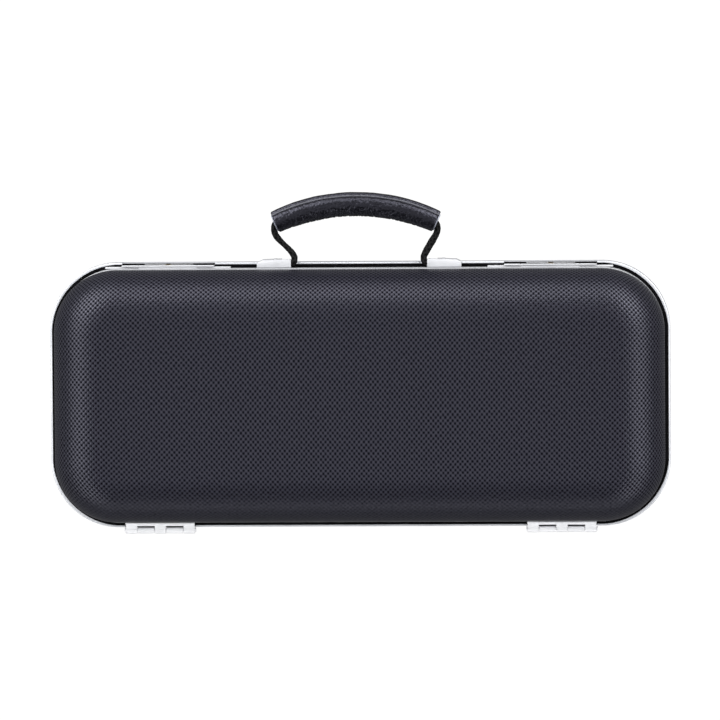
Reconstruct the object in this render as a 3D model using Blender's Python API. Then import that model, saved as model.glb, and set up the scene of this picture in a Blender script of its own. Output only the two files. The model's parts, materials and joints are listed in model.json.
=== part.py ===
"""Hard oboe case: two moulded shells in metal valances, two hinges, two latches, a cord-hung leather grip.

Frame: metres, +Z up.  X runs along the case, the front with latches and handle is -Y, the hinges are
at +Y.  The origin is the centre of the base's flat resting face.  Outward sizes named *_OUT are
measured from the outer face of the moulded wall at the seam, and heights named *_UP or *_DOWN from
the seam.
"""

import math

import bmesh
import bpy
from mathutils import Matrix, Vector

# Case body
SHELL_LENGTH = 0.375
SHELL_WIDTH = 0.156
BASE_HEIGHT = 0.045
LID_HEIGHT = 0.041
PLAN_RADIUS = 0.0385
EDGE_RADIUS = 0.028
SHELL_WALL = 0.004
SHELL_REBATE = 0.002
GAP = 0.0003
OVERRUN = 0.001
CORNER_STEPS = 8
EDGE_STEPS = 6

# Metal valances and the seal between them
LID_VALANCE_OUT = 0.0007
LID_VALANCE_HEIGHT = 0.0105
LID_VALANCE_EDGE = 0.0003
BASE_VALANCE_OUT = 0.0026
BASE_VALANCE_HEIGHT = 0.013
BASE_VALANCE_ROUND = 0.0013
VALANCE_FLANGE = 0.002
VALANCE_REACH = 0.0045
SEAL_HEIGHT = 0.0006
SEAL_OUT = 0.0016
SEAL_INSET = 0.0035

# Plush bed in the base: three lanes along the case, front to back
LANE_WALL = 0.008
LANE_END = 0.0245
LOWER_JOINT_LENGTH = 0.275
LOWER_JOINT_WIDTH = 0.036
UPPER_JOINT_LENGTH = 0.262
UPPER_JOINT_WIDTH = 0.032
BELL_LENGTH = 0.130
BELL_WIDTH = 0.046
BELL_NECK_WIDTH = 0.030
LANE_STRAIGHT = 0.004
POCKET_DEPTH = 0.022
CHANNEL_STEPS = 8
LINING_WALL = 0.010
LINING_HOLLOW = 0.018

# Hinges at the back
HINGE_FROM_END = 0.0638
END_KNUCKLE = 0.007
BASE_KNUCKLE = 0.0107
KNUCKLE_RADIUS = 0.0023
KNUCKLE_SLIP = 0.00015
HINGE_PIN_RADIUS = 0.001
HINGE_BORE_SLACK = 0.0001
HINGE_PIN_HEAD = 0.0016
HINGE_PIN_HEAD_LENGTH = 0.0005
LEAF_THICKNESS = 0.0008
LID_LEAF_HEIGHT = 0.0085
BASE_LEAF_HEIGHT = 0.0095
LEAF_WEB = 0.001
ROUND_STEPS = 12
SHARP_ANGLE = 35

# Rivets
RIVET_HEAD = 0.0015
RIVET_RISE = 0.0006
RIVET_SHANK = 0.0008
RIVET_BITE = 0.0016
RIVET_SHOULDER_SHARE = 0.906
HOLE_SLACK = 0.0004
RIVET_STEPS = 8
HINGE_RIVET_SPAN = 0.026

# Latches at the front
LATCH_FROM_END = 0.070
LATCH_PLATE_LENGTH = 0.077
LATCH_PLATE_THICKNESS = 0.0006
LATCH_PLATE_LOW = 0.0012
LATCH_AXIS_UP = 0.008
LATCH_RIVET_SPAN = 0.067
LEVER_LENGTH = 0.0564
LEVER_THICKNESS = 0.0007
LEVER_STEP_BACK = 0.00005
LEVER_DROP = 0.0165
LEVER_KNUCKLE_LENGTH = 0.010
LEVER_KNUCKLE_RADIUS = 0.00085
LATCH_PIN_RADIUS = 0.00042
LATCH_BORE_SLACK = 0.00005
NIB_LENGTH = 0.016
NIB_THICKNESS = 0.0007
NIB_BITE = 0.0008
STUD_RADIUS = 0.0028
STUD_RISE = 0.0004
STUD_SHANK = 0.0015
STUD_UP = 0.0032
KEEPER_LENGTH = 0.050
KEEPER_THICKNESS = 0.0006
KEEPER_TOP_DOWN = 0.003
KEEPER_HEIGHT = 0.0064
KEEPER_RIVET_SPAN = 0.036
KEEPER_LIP_OUT = 0.0016
LATCH_POCKET_FLOOR = 0.0004
LATCH_POCKET_SIDE = 0.0008
LATCH_POCKET_BELOW = 0.0017

# Handle brackets
BRACKET_INNER = 0.0419
BRACKET_LENGTH = 0.0209
BRACKET_OUT = 0.0061
BRACKET_TAPER = 0.0006
BRACKET_CORNER = 0.0032
BRACKET_CORNER_OUT = 0.0020
BRACKET_INNER_CORNER = 0.0008
BRACKET_TOP_UP = 0.0062
BRACKET_LOW_DOWN = 0.010
BRACKET_CLEAR_UP = 0.001
BRACKET_NOTCH_LENGTH = 0.006
BRACKET_TUNNEL_WALL = 0.00125
BRACKET_SCREW_ALONG = 0.0098
BRACKET_SCREW_DOWN = 0.0045
SCREW_HEAD = 0.0016
SCREW_HEAD_SINK = 0.0008
SCREW_HEAD_PROUD = 0.0005
SCREW_SHANK = 0.001
SCREW_BITE = 0.0017

# Handle: cord through the brackets and the grip
CORD_RADIUS = 0.0018
CORD_SLACK = 0.00015
CORD_AXIS_OUT = 0.0032
CORD_AXIS_UP = 0.0036
CORD_IN_BRACKET = 0.0105
CORD_STEP = 0.0026
GRIP_ARC_RADIUS = 0.114
GRIP_PEAK_OUT = 0.0396
GRIP_HALF_CHORD = 0.0515
GRIP_RADIUS = 0.0070
GRIP_END_RADIUS = 0.0063
GRIP_WELT = 0.0014
GRIP_BORE = 0.0049
GRIP_STATIONS = 14
GRIP_SLIMMING_POWER = 4
CORE_END = 0.011

SEAM = BASE_HEIGHT
SHELL_TOP = BASE_HEIGHT + LID_HEIGHT
HALF_WIDTH = SHELL_WIDTH / 2
FRONT = -1
BACK = 1

HINGE_LENGTH = 3 * END_KNUCKLE + 2 * BASE_KNUCKLE
HINGE_AXIS_OUT = BASE_VALANCE_OUT + GAP + KNUCKLE_RADIUS
HINGE_AXIS = Vector((0, HALF_WIDTH + HINGE_AXIS_OUT, SEAM))
LEVER_OUT = BASE_VALANCE_OUT
LATCH_AXIS_OUT = LEVER_OUT + LEVER_STEP_BACK - LEVER_KNUCKLE_RADIUS
LATCH_AXIS_Z = SEAM + LATCH_AXIS_UP
CORD_AXIS = Vector((0, -(HALF_WIDTH + CORD_AXIS_OUT), SEAM + CORD_AXIS_UP))

# Hand-picked route of the cord beside the grip, as (distance from the middle, outward distance)
CORD_ROUTE = [
    (0.0417, 0.0032),
    (0.0410, 0.0034),
    (0.0404, 0.0038),
    (0.0400, 0.0044),
    (0.0398, 0.0053),
    (0.0399, 0.0072),
    (0.0419, 0.0103),
    (0.0454, 0.0139),
    (0.0488, 0.0175),
    (0.0510, 0.0207),
    (0.0517, 0.0240),
    (0.0511, 0.0270),
    (0.0494, 0.0291),
    (0.0466, 0.0300),
]


def clear_scene():
    """Remove every object that the file starts with."""
    for old in list(bpy.data.objects):
        bpy.data.objects.remove(old, do_unlink=True)


def make_material(name, colour, roughness, metallic=0.0):
    """Return a Principled material."""
    material = bpy.data.materials.new(name)
    material.use_nodes = True
    shader = material.node_tree.nodes["Principled BSDF"]
    shader.inputs["Base Color"].default_value = (*colour, 1.0)
    shader.inputs["Roughness"].default_value = roughness
    shader.inputs["Metallic"].default_value = metallic
    return material


def outward(side, distance):
    """Return the Y of a point that lies an outward distance beyond the front or back wall."""
    return side * (HALF_WIDTH + distance)


def make_empty(name, location):
    """Return an empty on a joint's axis."""
    empty = bpy.data.objects.new(name, None)
    empty.location = location
    bpy.context.scene.collection.objects.link(empty)
    return empty


def add_object(name, mesh_builder, material=None, origin=None, parent=None):
    """Link a new object whose world mesh is in mesh_builder, with its own origin and parent."""
    bmesh.ops.recalc_face_normals(mesh_builder, faces=mesh_builder.faces)
    origin = Vector(origin) if origin is not None else Vector((0, 0, 0))
    bmesh.ops.translate(mesh_builder, verts=mesh_builder.verts, vec=-origin)
    mesh = bpy.data.meshes.new(name)
    mesh_builder.to_mesh(mesh)
    mesh_builder.free()
    obj = bpy.data.objects.new(name, mesh)
    obj.location = origin
    if parent is not None:
        obj.parent = parent
        obj.location = origin - parent.location
    bpy.context.scene.collection.objects.link(obj)
    if material is not None:
        mesh.materials.append(material)
    return obj


def add_tool(name, mesh_builder):
    """Link a shape that only cuts or joins other objects."""
    tool = add_object(name, mesh_builder)
    tool.hide_render = True
    tool.display_type = "WIRE"
    return tool


def combine(target, joins=(), cuts=()):
    """Join tools to a target, then cut other tools from it."""
    for operation, tools in (("UNION", joins), ("DIFFERENCE", cuts)):
        for tool in tools:
            modifier = target.modifiers.new(operation.lower() + "_" + tool.name, "BOOLEAN")
            modifier.operation = operation
            modifier.solver = "EXACT"
            modifier.object = tool


def shade_round(obj):
    """Shade a turned piece smooth, with its sharp edges kept."""
    obj.data.shade_smooth()
    obj.data.set_sharp_from_angle(angle=math.radians(SHARP_ANGLE))


def plan_loop(inset, z):
    """Return the case's rounded plan outline, drawn in by inset, as a loop of points."""
    radius = PLAN_RADIUS - inset
    centre_x = SHELL_LENGTH / 2 - PLAN_RADIUS
    centre_y = SHELL_WIDTH / 2 - PLAN_RADIUS
    loop = []
    for quadrant, (sign_x, sign_y) in enumerate(((1, 1), (-1, 1), (-1, -1), (1, -1))):
        for step in range(CORNER_STEPS + 1):
            angle = math.pi / 2 * (quadrant + step / CORNER_STEPS)
            x = sign_x * centre_x + radius * math.cos(angle)
            y = sign_y * centre_y + radius * math.sin(angle)
            loop.append(Vector((x, y, z)))
    return loop


def edge_loops(inset, middle_z, direction):
    """Return loops round the moulded edge, from the flat face to the wall."""
    radius = EDGE_RADIUS - inset
    loops = []
    for step in range(EDGE_STEPS, -1, -1):
        angle = math.pi / 2 * step / EDGE_STEPS
        drawn_in = inset + radius * (1 - math.cos(angle))
        loops.append(plan_loop(drawn_in, middle_z + direction * radius * math.sin(angle)))
    return loops


def loft(loops, closed=False):
    """Return a solid through loops of equal counts, capped at its ends unless it closes on itself."""
    builder = bmesh.new()
    rows = [[builder.verts.new(point) for point in loop] for loop in loops]
    pairs = list(zip(rows, rows[1:]))
    if closed:
        pairs.append((rows[-1], rows[0]))
    for first, second in pairs:
        count = len(first)
        for i in range(count):
            j = (i + 1) % count
            builder.faces.new((first[i], first[j], second[j], second[i]))
    if not closed:
        builder.faces.new(rows[0])
        builder.faces.new(rows[-1])
    return builder


def box(low, high):
    """Return a box between two corners given in any order."""
    builder = bmesh.new()
    bmesh.ops.create_cube(builder, size=1)
    low = Vector(low)
    high = Vector(high)
    size = high - low
    scale = Matrix.Diagonal((abs(size.x), abs(size.y), abs(size.z), 1))
    bmesh.ops.transform(builder, verts=builder.verts, matrix=Matrix.Translation((low + high) / 2) @ scale)
    return builder


def turned_along_x(centre_y, centre_z, stations, steps=ROUND_STEPS):
    """Return a turned solid about an X axis, from (x, radius) stations."""
    loops = []
    for x, radius in stations:
        loop = []
        for step in range(steps):
            angle = 2 * math.pi * step / steps
            loop.append(Vector((x, centre_y + radius * math.cos(angle), centre_z + radius * math.sin(angle))))
        loops.append(loop)
    return loft(loops)


def turned_outward(side, x, z, stations, steps=RIVET_STEPS):
    """Return a turned solid about a Y axis, from (outward distance, radius) stations."""
    loops = []
    for distance, radius in stations:
        loop = []
        for step in range(steps):
            angle = 2 * math.pi * (step + 0.5) / steps
            y = outward(side, distance)
            loop.append(Vector((x + radius * math.cos(angle), y, z + radius * math.sin(angle))))
        loops.append(loop)
    return loft(loops)


def make_shells(material, lid_axis):
    """Make the two moulded shells, each a tray whose rim is rebated for its valance."""
    rim = VALANCE_FLANGE + GAP + SEAL_HEIGHT / 2 + GAP
    for name, direction, far_middle, valance, parent in (
        ("base_shell", -1, EDGE_RADIUS, BASE_VALANCE_HEIGHT, None),
        ("lid_shell", 1, SHELL_TOP - EDGE_RADIUS, LID_VALANCE_HEIGHT, lid_axis),
    ):
        rim_z = SEAM + direction * rim
        step_z = SEAM + direction * (valance + GAP)
        loops = edge_loops(0, far_middle, direction)
        loops.append(plan_loop(0, step_z))
        loops.append(plan_loop(SHELL_REBATE, step_z))
        loops.append(plan_loop(SHELL_REBATE, rim_z))
        loops.append(plan_loop(SHELL_WALL, rim_z))
        loops.extend(reversed(edge_loops(SHELL_WALL, far_middle, direction)))
        origin = lid_axis.location if parent is not None else None
        shell = add_object(name, loft(loops), material, origin, parent)
        shade_round(shell)


def make_valances(metal, lid_axis):
    """Make the metal valance of each half: a band over the wall with a flange over its rim."""
    near = SEAL_HEIGHT / 2 + GAP
    flange = near + VALANCE_FLANGE
    inner = GAP - SHELL_REBATE
    lid_profile = [
        (-VALANCE_REACH, near),
        (LID_VALANCE_OUT - LID_VALANCE_EDGE, near),
        (LID_VALANCE_OUT, near + LID_VALANCE_EDGE),
        (LID_VALANCE_OUT, LID_VALANCE_HEIGHT - LID_VALANCE_EDGE),
        (LID_VALANCE_OUT - LID_VALANCE_EDGE, LID_VALANCE_HEIGHT),
        (inner, LID_VALANCE_HEIGHT),
        (inner, flange),
        (-VALANCE_REACH, flange),
    ]
    turn = BASE_VALANCE_ROUND
    base_profile = [
        (-VALANCE_REACH, near),
        (BASE_VALANCE_OUT - turn, near),
        (BASE_VALANCE_OUT - turn / 3, near + turn / 3),
        (BASE_VALANCE_OUT, near + turn),
        (BASE_VALANCE_OUT, BASE_VALANCE_HEIGHT - turn * 2),
        (BASE_VALANCE_OUT - turn / 2, BASE_VALANCE_HEIGHT - turn / 2),
        (BASE_VALANCE_OUT - turn, BASE_VALANCE_HEIGHT),
        (inner, BASE_VALANCE_HEIGHT),
        (inner, flange),
        (-VALANCE_REACH, flange),
    ]
    lid_loops = [plan_loop(-out, SEAM + height) for out, height in lid_profile]
    base_loops = [plan_loop(-out, SEAM - height) for out, height in base_profile]
    lid = add_object("lid_valance", loft(lid_loops, closed=True), metal, lid_axis.location, lid_axis)
    base = add_object("base_valance", loft(base_loops, closed=True), metal)
    shade_round(lid)
    shade_round(base)
    return lid, base


def make_seal(rubber):
    """Make the soft seal that lies on the base valance."""
    half = SEAL_HEIGHT / 2
    profile = ((-SEAL_INSET, -half), (SEAL_OUT, -half), (SEAL_OUT, half), (-SEAL_INSET, half))
    loops = [plan_loop(-out, SEAM + height) for out, height in profile]
    shade_round(add_object("seal", loft(loops, closed=True), rubber))


def channel_profile(centre_y, top_z, radius):
    """Return a round-bottomed channel profile that opens upward past the bed's top."""
    points = [(centre_y + radius, top_z + OVERRUN), (centre_y - radius, top_z + OVERRUN)]
    middle_z = top_z - LANE_STRAIGHT
    for step in range(CHANNEL_STEPS + 1):
        angle = math.pi + math.pi * step / CHANNEL_STEPS
        points.append((centre_y + radius * math.cos(angle), middle_z + radius * math.sin(angle)))
    return points


def channel(centre_y, top_z, start, end, start_radius, end_radius):
    """Return a channel cutter whose radius may differ at its ends."""
    loops = []
    for x, radius in ((start, start_radius), (end, end_radius)):
        loops.append([Vector((x, y, z)) for y, z in channel_profile(centre_y, top_z, radius)])
    return loft(loops)


def make_bed(plush):
    """Make the plush bed, cut for the two joints, the bell and three small compartments."""
    inset = SHELL_WALL + GAP
    top_z = SEAM - (SEAL_HEIGHT / 2 + GAP + VALANCE_FLANGE + GAP)
    loops = edge_loops(inset, EDGE_RADIUS, -1)
    loops.append(plan_loop(inset, top_z))
    bed = add_object("instrument_bed", loft(loops), plush)
    widths = (LOWER_JOINT_WIDTH, BELL_WIDTH, UPPER_JOINT_WIDTH)
    front_y = -(sum(widths) + 2 * LANE_WALL) / 2
    centres = []
    for width in widths:
        centres.append(front_y + width / 2)
        front_y += width + LANE_WALL
    left = -SHELL_LENGTH / 2 + LANE_END
    right = -left
    lower_end = left + LOWER_JOINT_LENGTH
    bell_end = left + BELL_LENGTH
    upper_end = left + UPPER_JOINT_LENGTH
    lower_radius = LOWER_JOINT_WIDTH / 2
    upper_radius = UPPER_JOINT_WIDTH / 2
    cuts = [
        add_tool("lower_cut", channel(centres[0], top_z, left, lower_end, lower_radius, lower_radius)),
        add_tool("bell_cut", channel(centres[1], top_z, left, bell_end, BELL_WIDTH / 2, BELL_NECK_WIDTH / 2)),
        add_tool("upper_cut", channel(centres[2], top_z, left, upper_end, upper_radius, upper_radius)),
    ]
    floor_z = top_z - POCKET_DEPTH
    pockets = (
        ("reed_pocket", centres[0], LOWER_JOINT_WIDTH, lower_end + LANE_WALL),
        ("accessory_pocket", centres[1], BELL_WIDTH, bell_end + LANE_WALL),
        ("tool_pocket", centres[2], UPPER_JOINT_WIDTH, upper_end + LANE_WALL),
    )
    for name, centre_y, width, start in pockets:
        low = (start, centre_y - width / 2, floor_z)
        high = (right, centre_y + width / 2, top_z + OVERRUN)
        cuts.append(add_tool(name + "_cut", box(low, high)))
    combine(bed, cuts=cuts)


def make_lining(plush, lid_axis):
    """Make the lid's padded lining, hollowed over the instrument."""
    inset = SHELL_WALL + GAP
    rim_z = SEAM + SEAL_HEIGHT / 2 + GAP + VALANCE_FLANGE + GAP
    loops = edge_loops(inset, SHELL_TOP - EDGE_RADIUS, 1)
    loops.append(plan_loop(inset, rim_z))
    loops.append(plan_loop(inset + LINING_WALL, rim_z))
    loops.append(plan_loop(inset + LINING_WALL, rim_z + LINING_HOLLOW))
    add_object("lid_lining", loft(loops), plush, lid_axis.location, lid_axis)


def make_rivet(name, metal, side, x, z, face, seat, parent):
    """Make a domed rivet over a plate face and return the cutter of its hole down to its seat."""
    head = face + GAP
    foot = seat - RIVET_BITE
    stations = (
        (foot, RIVET_SHANK),
        (head, RIVET_SHANK),
        (head, RIVET_HEAD),
        (head + RIVET_RISE / 2, RIVET_HEAD * RIVET_SHOULDER_SHARE),
        (head + RIVET_RISE, RIVET_HEAD / 2),
    )
    origin = (x, outward(side, face), z)
    rivet = add_object(name, turned_outward(side, x, z, stations), metal, origin, parent)
    shade_round(rivet)
    hole = RIVET_SHANK + HOLE_SLACK
    cut = turned_outward(side, x, z, ((foot - GAP, hole), (face + OVERRUN, hole)))
    return add_tool(name + "_hole", cut)


def knuckle_spans(centre_x):
    """Return the X spans of a hinge's knuckles from its left end, lid and base in turn."""
    spans = []
    x = centre_x - HINGE_LENGTH / 2
    for index in range(5):
        length = BASE_KNUCKLE if index % 2 else END_KNUCKLE
        spans.append((x, x + length))
        x += length
    return spans


def make_hinge(label, centre_x, metal, lid_axis, lid_valance, base_valance):
    """Make one five-knuckle hinge with its pin and rivets."""
    axis_y = HINGE_AXIS.y
    spans = knuckle_spans(centre_x)
    first = centre_x - HINGE_LENGTH / 2
    last = centre_x + HINGE_LENGTH / 2
    lid_in = LID_VALANCE_OUT + GAP
    base_in = BASE_VALANCE_OUT + GAP
    web_low = SEAM + KNUCKLE_RADIUS - LEAF_WEB - GAP
    lid_plate = box(
        (first, outward(BACK, lid_in), web_low),
        (last, outward(BACK, lid_in + LEAF_THICKNESS), SEAM + LID_LEAF_HEIGHT),
    )
    top_down = KNUCKLE_RADIUS + GAP
    base_plate = box(
        (first, outward(BACK, base_in), SEAM - BASE_LEAF_HEIGHT),
        (last, outward(BACK, base_in + LEAF_THICKNESS), SEAM - top_down),
    )
    bore_radius = HINGE_PIN_RADIUS + HINGE_BORE_SLACK
    bore_ends = ((first - OVERRUN, bore_radius), (last + OVERRUN, bore_radius))
    bore = add_tool("hinge_bore_" + label, turned_along_x(axis_y, SEAM, bore_ends))
    lid_joins = []
    base_joins = []
    for index, (start, end) in enumerate(spans):
        start += KNUCKLE_SLIP if index else 0
        end -= KNUCKLE_SLIP if index < 4 else 0
        stations = ((start, KNUCKLE_RADIUS), (end, KNUCKLE_RADIUS))
        knuckle = add_tool(f"knuckle_{label}_{index}", turned_along_x(axis_y, SEAM, stations))
        if index % 2:
            low = (start, outward(BACK, base_in), SEAM - top_down - OVERRUN)
            web = box(low, (end, outward(BACK, base_in + LEAF_THICKNESS), SEAM - GAP))
            base_joins += [add_tool(f"base_web_{label}_{index}", web), knuckle]
        else:
            low = (start, outward(BACK, lid_in + GAP), web_low)
            web = box(low, (end, outward(BACK, HINGE_AXIS_OUT), web_low + LEAF_WEB))
            lid_joins += [add_tool(f"lid_web_{label}_{index}", web), knuckle]
    axis_point = (centre_x, axis_y, SEAM)
    lid_leaf = add_object("hinge_lid_leaf_" + label, lid_plate, metal, axis_point, lid_axis)
    base_leaf = add_object("hinge_base_leaf_" + label, base_plate, metal, axis_point)
    head_out = GAP + HINGE_PIN_HEAD_LENGTH
    pin_stations = (
        (first - head_out, HINGE_PIN_HEAD),
        (first - GAP, HINGE_PIN_HEAD),
        (first - GAP, HINGE_PIN_RADIUS),
        (last + GAP, HINGE_PIN_RADIUS),
        (last + GAP, HINGE_PIN_HEAD),
        (last + head_out, HINGE_PIN_HEAD),
    )
    pin = add_object("hinge_pin_" + label, turned_along_x(axis_y, SEAM, pin_stations), metal, axis_point)
    shade_round(pin)
    lid_cuts = []
    base_cuts = []
    rivet_up = (LID_LEAF_HEIGHT + KNUCKLE_RADIUS) / 2
    rivet_down = (BASE_LEAF_HEIGHT + top_down) / 2
    for number, offset in enumerate((-HINGE_RIVET_SPAN / 2, HINGE_RIVET_SPAN / 2), start=1):
        x = centre_x + offset
        lid_cuts.append(make_rivet(
            f"hinge_lid_rivet_{label}_{number}", metal, BACK, x, SEAM + rivet_up,
            lid_in + LEAF_THICKNESS, LID_VALANCE_OUT, lid_axis,
        ))
        base_cuts.append(make_rivet(
            f"hinge_base_rivet_{label}_{number}", metal, BACK, x, SEAM - rivet_down,
            base_in + LEAF_THICKNESS, BASE_VALANCE_OUT, None,
        ))
    combine(lid_leaf, lid_joins, lid_cuts + [bore])
    combine(base_leaf, base_joins, base_cuts + [bore])
    combine(lid_valance, cuts=lid_cuts)
    combine(base_valance, cuts=base_cuts)


def make_latch(label, centre_x, metal, brass, lid_axis, lid_valance, base_valance):
    """Make one latch: a plate on the lid, its hinged lever with a nib, and the keeper in the base."""
    axis_y = outward(FRONT, LATCH_AXIS_OUT)
    lever_axis = make_empty("latch_axis_" + label, (centre_x, axis_y, LATCH_AXIS_Z))
    plate_in = LID_VALANCE_OUT + GAP
    plate_out = plate_in + LATCH_PLATE_THICKNESS
    plate_top = LATCH_AXIS_Z - LEVER_KNUCKLE_RADIUS - GAP
    half_plate = LATCH_PLATE_LENGTH / 2
    half_lever = LEVER_LENGTH / 2
    half_middle = half_lever - LEVER_KNUCKLE_LENGTH - GAP
    bore_radius = LATCH_PIN_RADIUS + LATCH_BORE_SLACK
    bore_ends = ((centre_x - half_lever - OVERRUN, bore_radius), (centre_x + half_lever + OVERRUN, bore_radius))
    bore = add_tool("latch_bore_" + label, turned_along_x(axis_y, LATCH_AXIS_Z, bore_ends))

    plate = add_object("latch_plate_" + label, box(
        (centre_x - half_plate, outward(FRONT, plate_in), SEAM + LATCH_PLATE_LOW),
        (centre_x + half_plate, outward(FRONT, plate_out), plate_top),
    ), metal, (centre_x, outward(FRONT, plate_in), plate_top), lid_axis)
    neck = add_tool("latch_neck_" + label, box(
        (centre_x - half_middle, outward(FRONT, plate_in), plate_top - GAP),
        (centre_x + half_middle, outward(FRONT, plate_out), LATCH_AXIS_Z),
    ))
    middle_ends = ((centre_x - half_middle, LEVER_KNUCKLE_RADIUS), (centre_x + half_middle, LEVER_KNUCKLE_RADIUS))
    middle = add_tool("latch_middle_" + label, turned_along_x(axis_y, LATCH_AXIS_Z, middle_ends))

    lever_in = LEVER_OUT - LEVER_THICKNESS
    lever_top = LATCH_AXIS_Z - LEVER_KNUCKLE_RADIUS - GAP
    lever_bottom = LATCH_AXIS_Z - LEVER_DROP
    lever = add_object("latch_lever_" + label, box(
        (centre_x - half_lever, outward(FRONT, lever_in), lever_bottom),
        (centre_x + half_lever, outward(FRONT, LEVER_OUT), lever_top),
    ), metal, lever_axis.location, lever_axis)
    lever_joins = []
    for side_name, sign in (("a", -1), ("b", 1)):
        outer_x = centre_x + sign * half_lever
        inner_x = centre_x + sign * (half_lever - LEVER_KNUCKLE_LENGTH)
        lever_joins.append(add_tool(f"lever_ear_{label}_{side_name}", box(
            (min(outer_x, inner_x), outward(FRONT, lever_in), lever_top - GAP),
            (max(outer_x, inner_x), outward(FRONT, LEVER_OUT), LATCH_AXIS_Z),
        )))
        ends = ((min(outer_x, inner_x), LEVER_KNUCKLE_RADIUS), (max(outer_x, inner_x), LEVER_KNUCKLE_RADIUS))
        knuckle = turned_along_x(axis_y, LATCH_AXIS_Z, ends)
        lever_joins.append(add_tool(f"lever_knuckle_{label}_{side_name}", knuckle))
    nib_top = SEAM - KEEPER_TOP_DOWN - KEEPER_THICKNESS - GAP
    half_nib = NIB_LENGTH / 2
    lever_joins.append(add_tool("lever_nib_" + label, box(
        (centre_x - half_nib, outward(FRONT, KEEPER_LIP_OUT - NIB_BITE), nib_top - NIB_THICKNESS),
        (centre_x + half_nib, outward(FRONT, LEVER_OUT - GAP), nib_top),
    )))

    pin_ends = ((centre_x - half_lever, LATCH_PIN_RADIUS), (centre_x + half_lever, LATCH_PIN_RADIUS))
    pin_origin = (centre_x, axis_y, LATCH_AXIS_Z)
    pin = turned_along_x(axis_y, LATCH_AXIS_Z, pin_ends)
    shade_round(add_object("latch_pin_" + label, pin, metal, pin_origin, lid_axis))

    stud_z = SEAM + STUD_UP
    stud_head = LEVER_OUT + GAP
    stud_stations = (
        (lever_in + GAP / 2, STUD_SHANK),
        (stud_head, STUD_SHANK),
        (stud_head, STUD_RADIUS),
        (stud_head + STUD_RISE / 2, STUD_RADIUS),
        (stud_head + STUD_RISE, STUD_RADIUS - STUD_RISE),
    )
    stud = turned_outward(FRONT, centre_x, stud_z, stud_stations, ROUND_STEPS)
    stud_origin = (centre_x, outward(FRONT, LEVER_OUT), stud_z)
    shade_round(add_object("latch_stud_" + label, stud, brass, stud_origin, lever_axis))
    stud_hole_ends = ((lever_in - OVERRUN, STUD_SHANK + GAP), (LEVER_OUT + OVERRUN, STUD_SHANK + GAP))
    stud_hole = turned_outward(FRONT, centre_x, stud_z, stud_hole_ends, ROUND_STEPS)
    combine(lever, lever_joins, [add_tool("stud_hole_" + label, stud_hole), bore])

    keeper_in = GAP - LATCH_POCKET_FLOOR
    keeper_face = keeper_in + KEEPER_THICKNESS
    keeper_top = SEAM - KEEPER_TOP_DOWN
    half_keeper = KEEPER_LENGTH / 2
    keeper = add_object("latch_keeper_" + label, box(
        (centre_x - half_keeper, outward(FRONT, keeper_in), keeper_top - KEEPER_HEIGHT),
        (centre_x + half_keeper, outward(FRONT, keeper_face), keeper_top),
    ), metal, (centre_x, outward(FRONT, keeper_in), keeper_top))
    lip = add_tool("keeper_lip_" + label, box(
        (centre_x - half_nib, outward(FRONT, keeper_in + GAP), keeper_top - KEEPER_THICKNESS),
        (centre_x + half_nib, outward(FRONT, KEEPER_LIP_OUT), keeper_top),
    ))

    plate_cuts = []
    keeper_cuts = []
    plate_rivet_z = (SEAM + LATCH_PLATE_LOW + plate_top) / 2
    keeper_rivet_z = keeper_top - KEEPER_HEIGHT / 2
    keeper_seat = RIVET_BITE / 2 - LATCH_POCKET_FLOOR
    for number, sign in enumerate((-1, 1), start=1):
        plate_cuts.append(make_rivet(
            f"latch_plate_rivet_{label}_{number}", metal, FRONT, centre_x + sign * LATCH_RIVET_SPAN / 2,
            plate_rivet_z, plate_out, LID_VALANCE_OUT, lid_axis,
        ))
        keeper_cuts.append(make_rivet(
            f"latch_keeper_rivet_{label}_{number}", metal, FRONT, centre_x + sign * KEEPER_RIVET_SPAN / 2,
            keeper_rivet_z, keeper_face, keeper_seat, None,
        ))
    combine(plate, [neck, middle], plate_cuts + [bore])
    combine(keeper, [lip], keeper_cuts)
    pocket = add_tool("latch_pocket_" + label, box(
        (centre_x - half_lever - LATCH_POCKET_SIDE, outward(FRONT, -LATCH_POCKET_FLOOR), SEAM),
        (centre_x + half_lever + LATCH_POCKET_SIDE, outward(FRONT, BASE_VALANCE_OUT + OVERRUN),
         lever_bottom - LATCH_POCKET_BELOW),
    ))
    combine(base_valance, cuts=[pocket] + keeper_cuts)
    combine(lid_valance, cuts=plate_cuts)


def bracket_outline(sign, inner_out):
    """Return a bracket's plan outline as (X, outward distance) points."""
    near = sign * BRACKET_INNER
    near_corner = sign * (BRACKET_INNER + BRACKET_INNER_CORNER)
    far = sign * (BRACKET_INNER + BRACKET_LENGTH)
    corner = sign * (BRACKET_INNER + BRACKET_LENGTH - BRACKET_CORNER)
    far_out = BRACKET_OUT - BRACKET_TAPER
    return ((near, inner_out), (near, BRACKET_OUT - BRACKET_INNER_CORNER), (near_corner, BRACKET_OUT),
            (corner, far_out), (far, far_out - BRACKET_CORNER_OUT), (far, inner_out))


def bracket_block(sign, inner_out, low_z, high_z):
    """Return a bracket's outline drawn up from one height to another."""
    outline = bracket_outline(sign, inner_out)
    return loft([[Vector((x, outward(FRONT, out), z)) for x, out in outline] for z in (low_z, high_z)])


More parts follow.
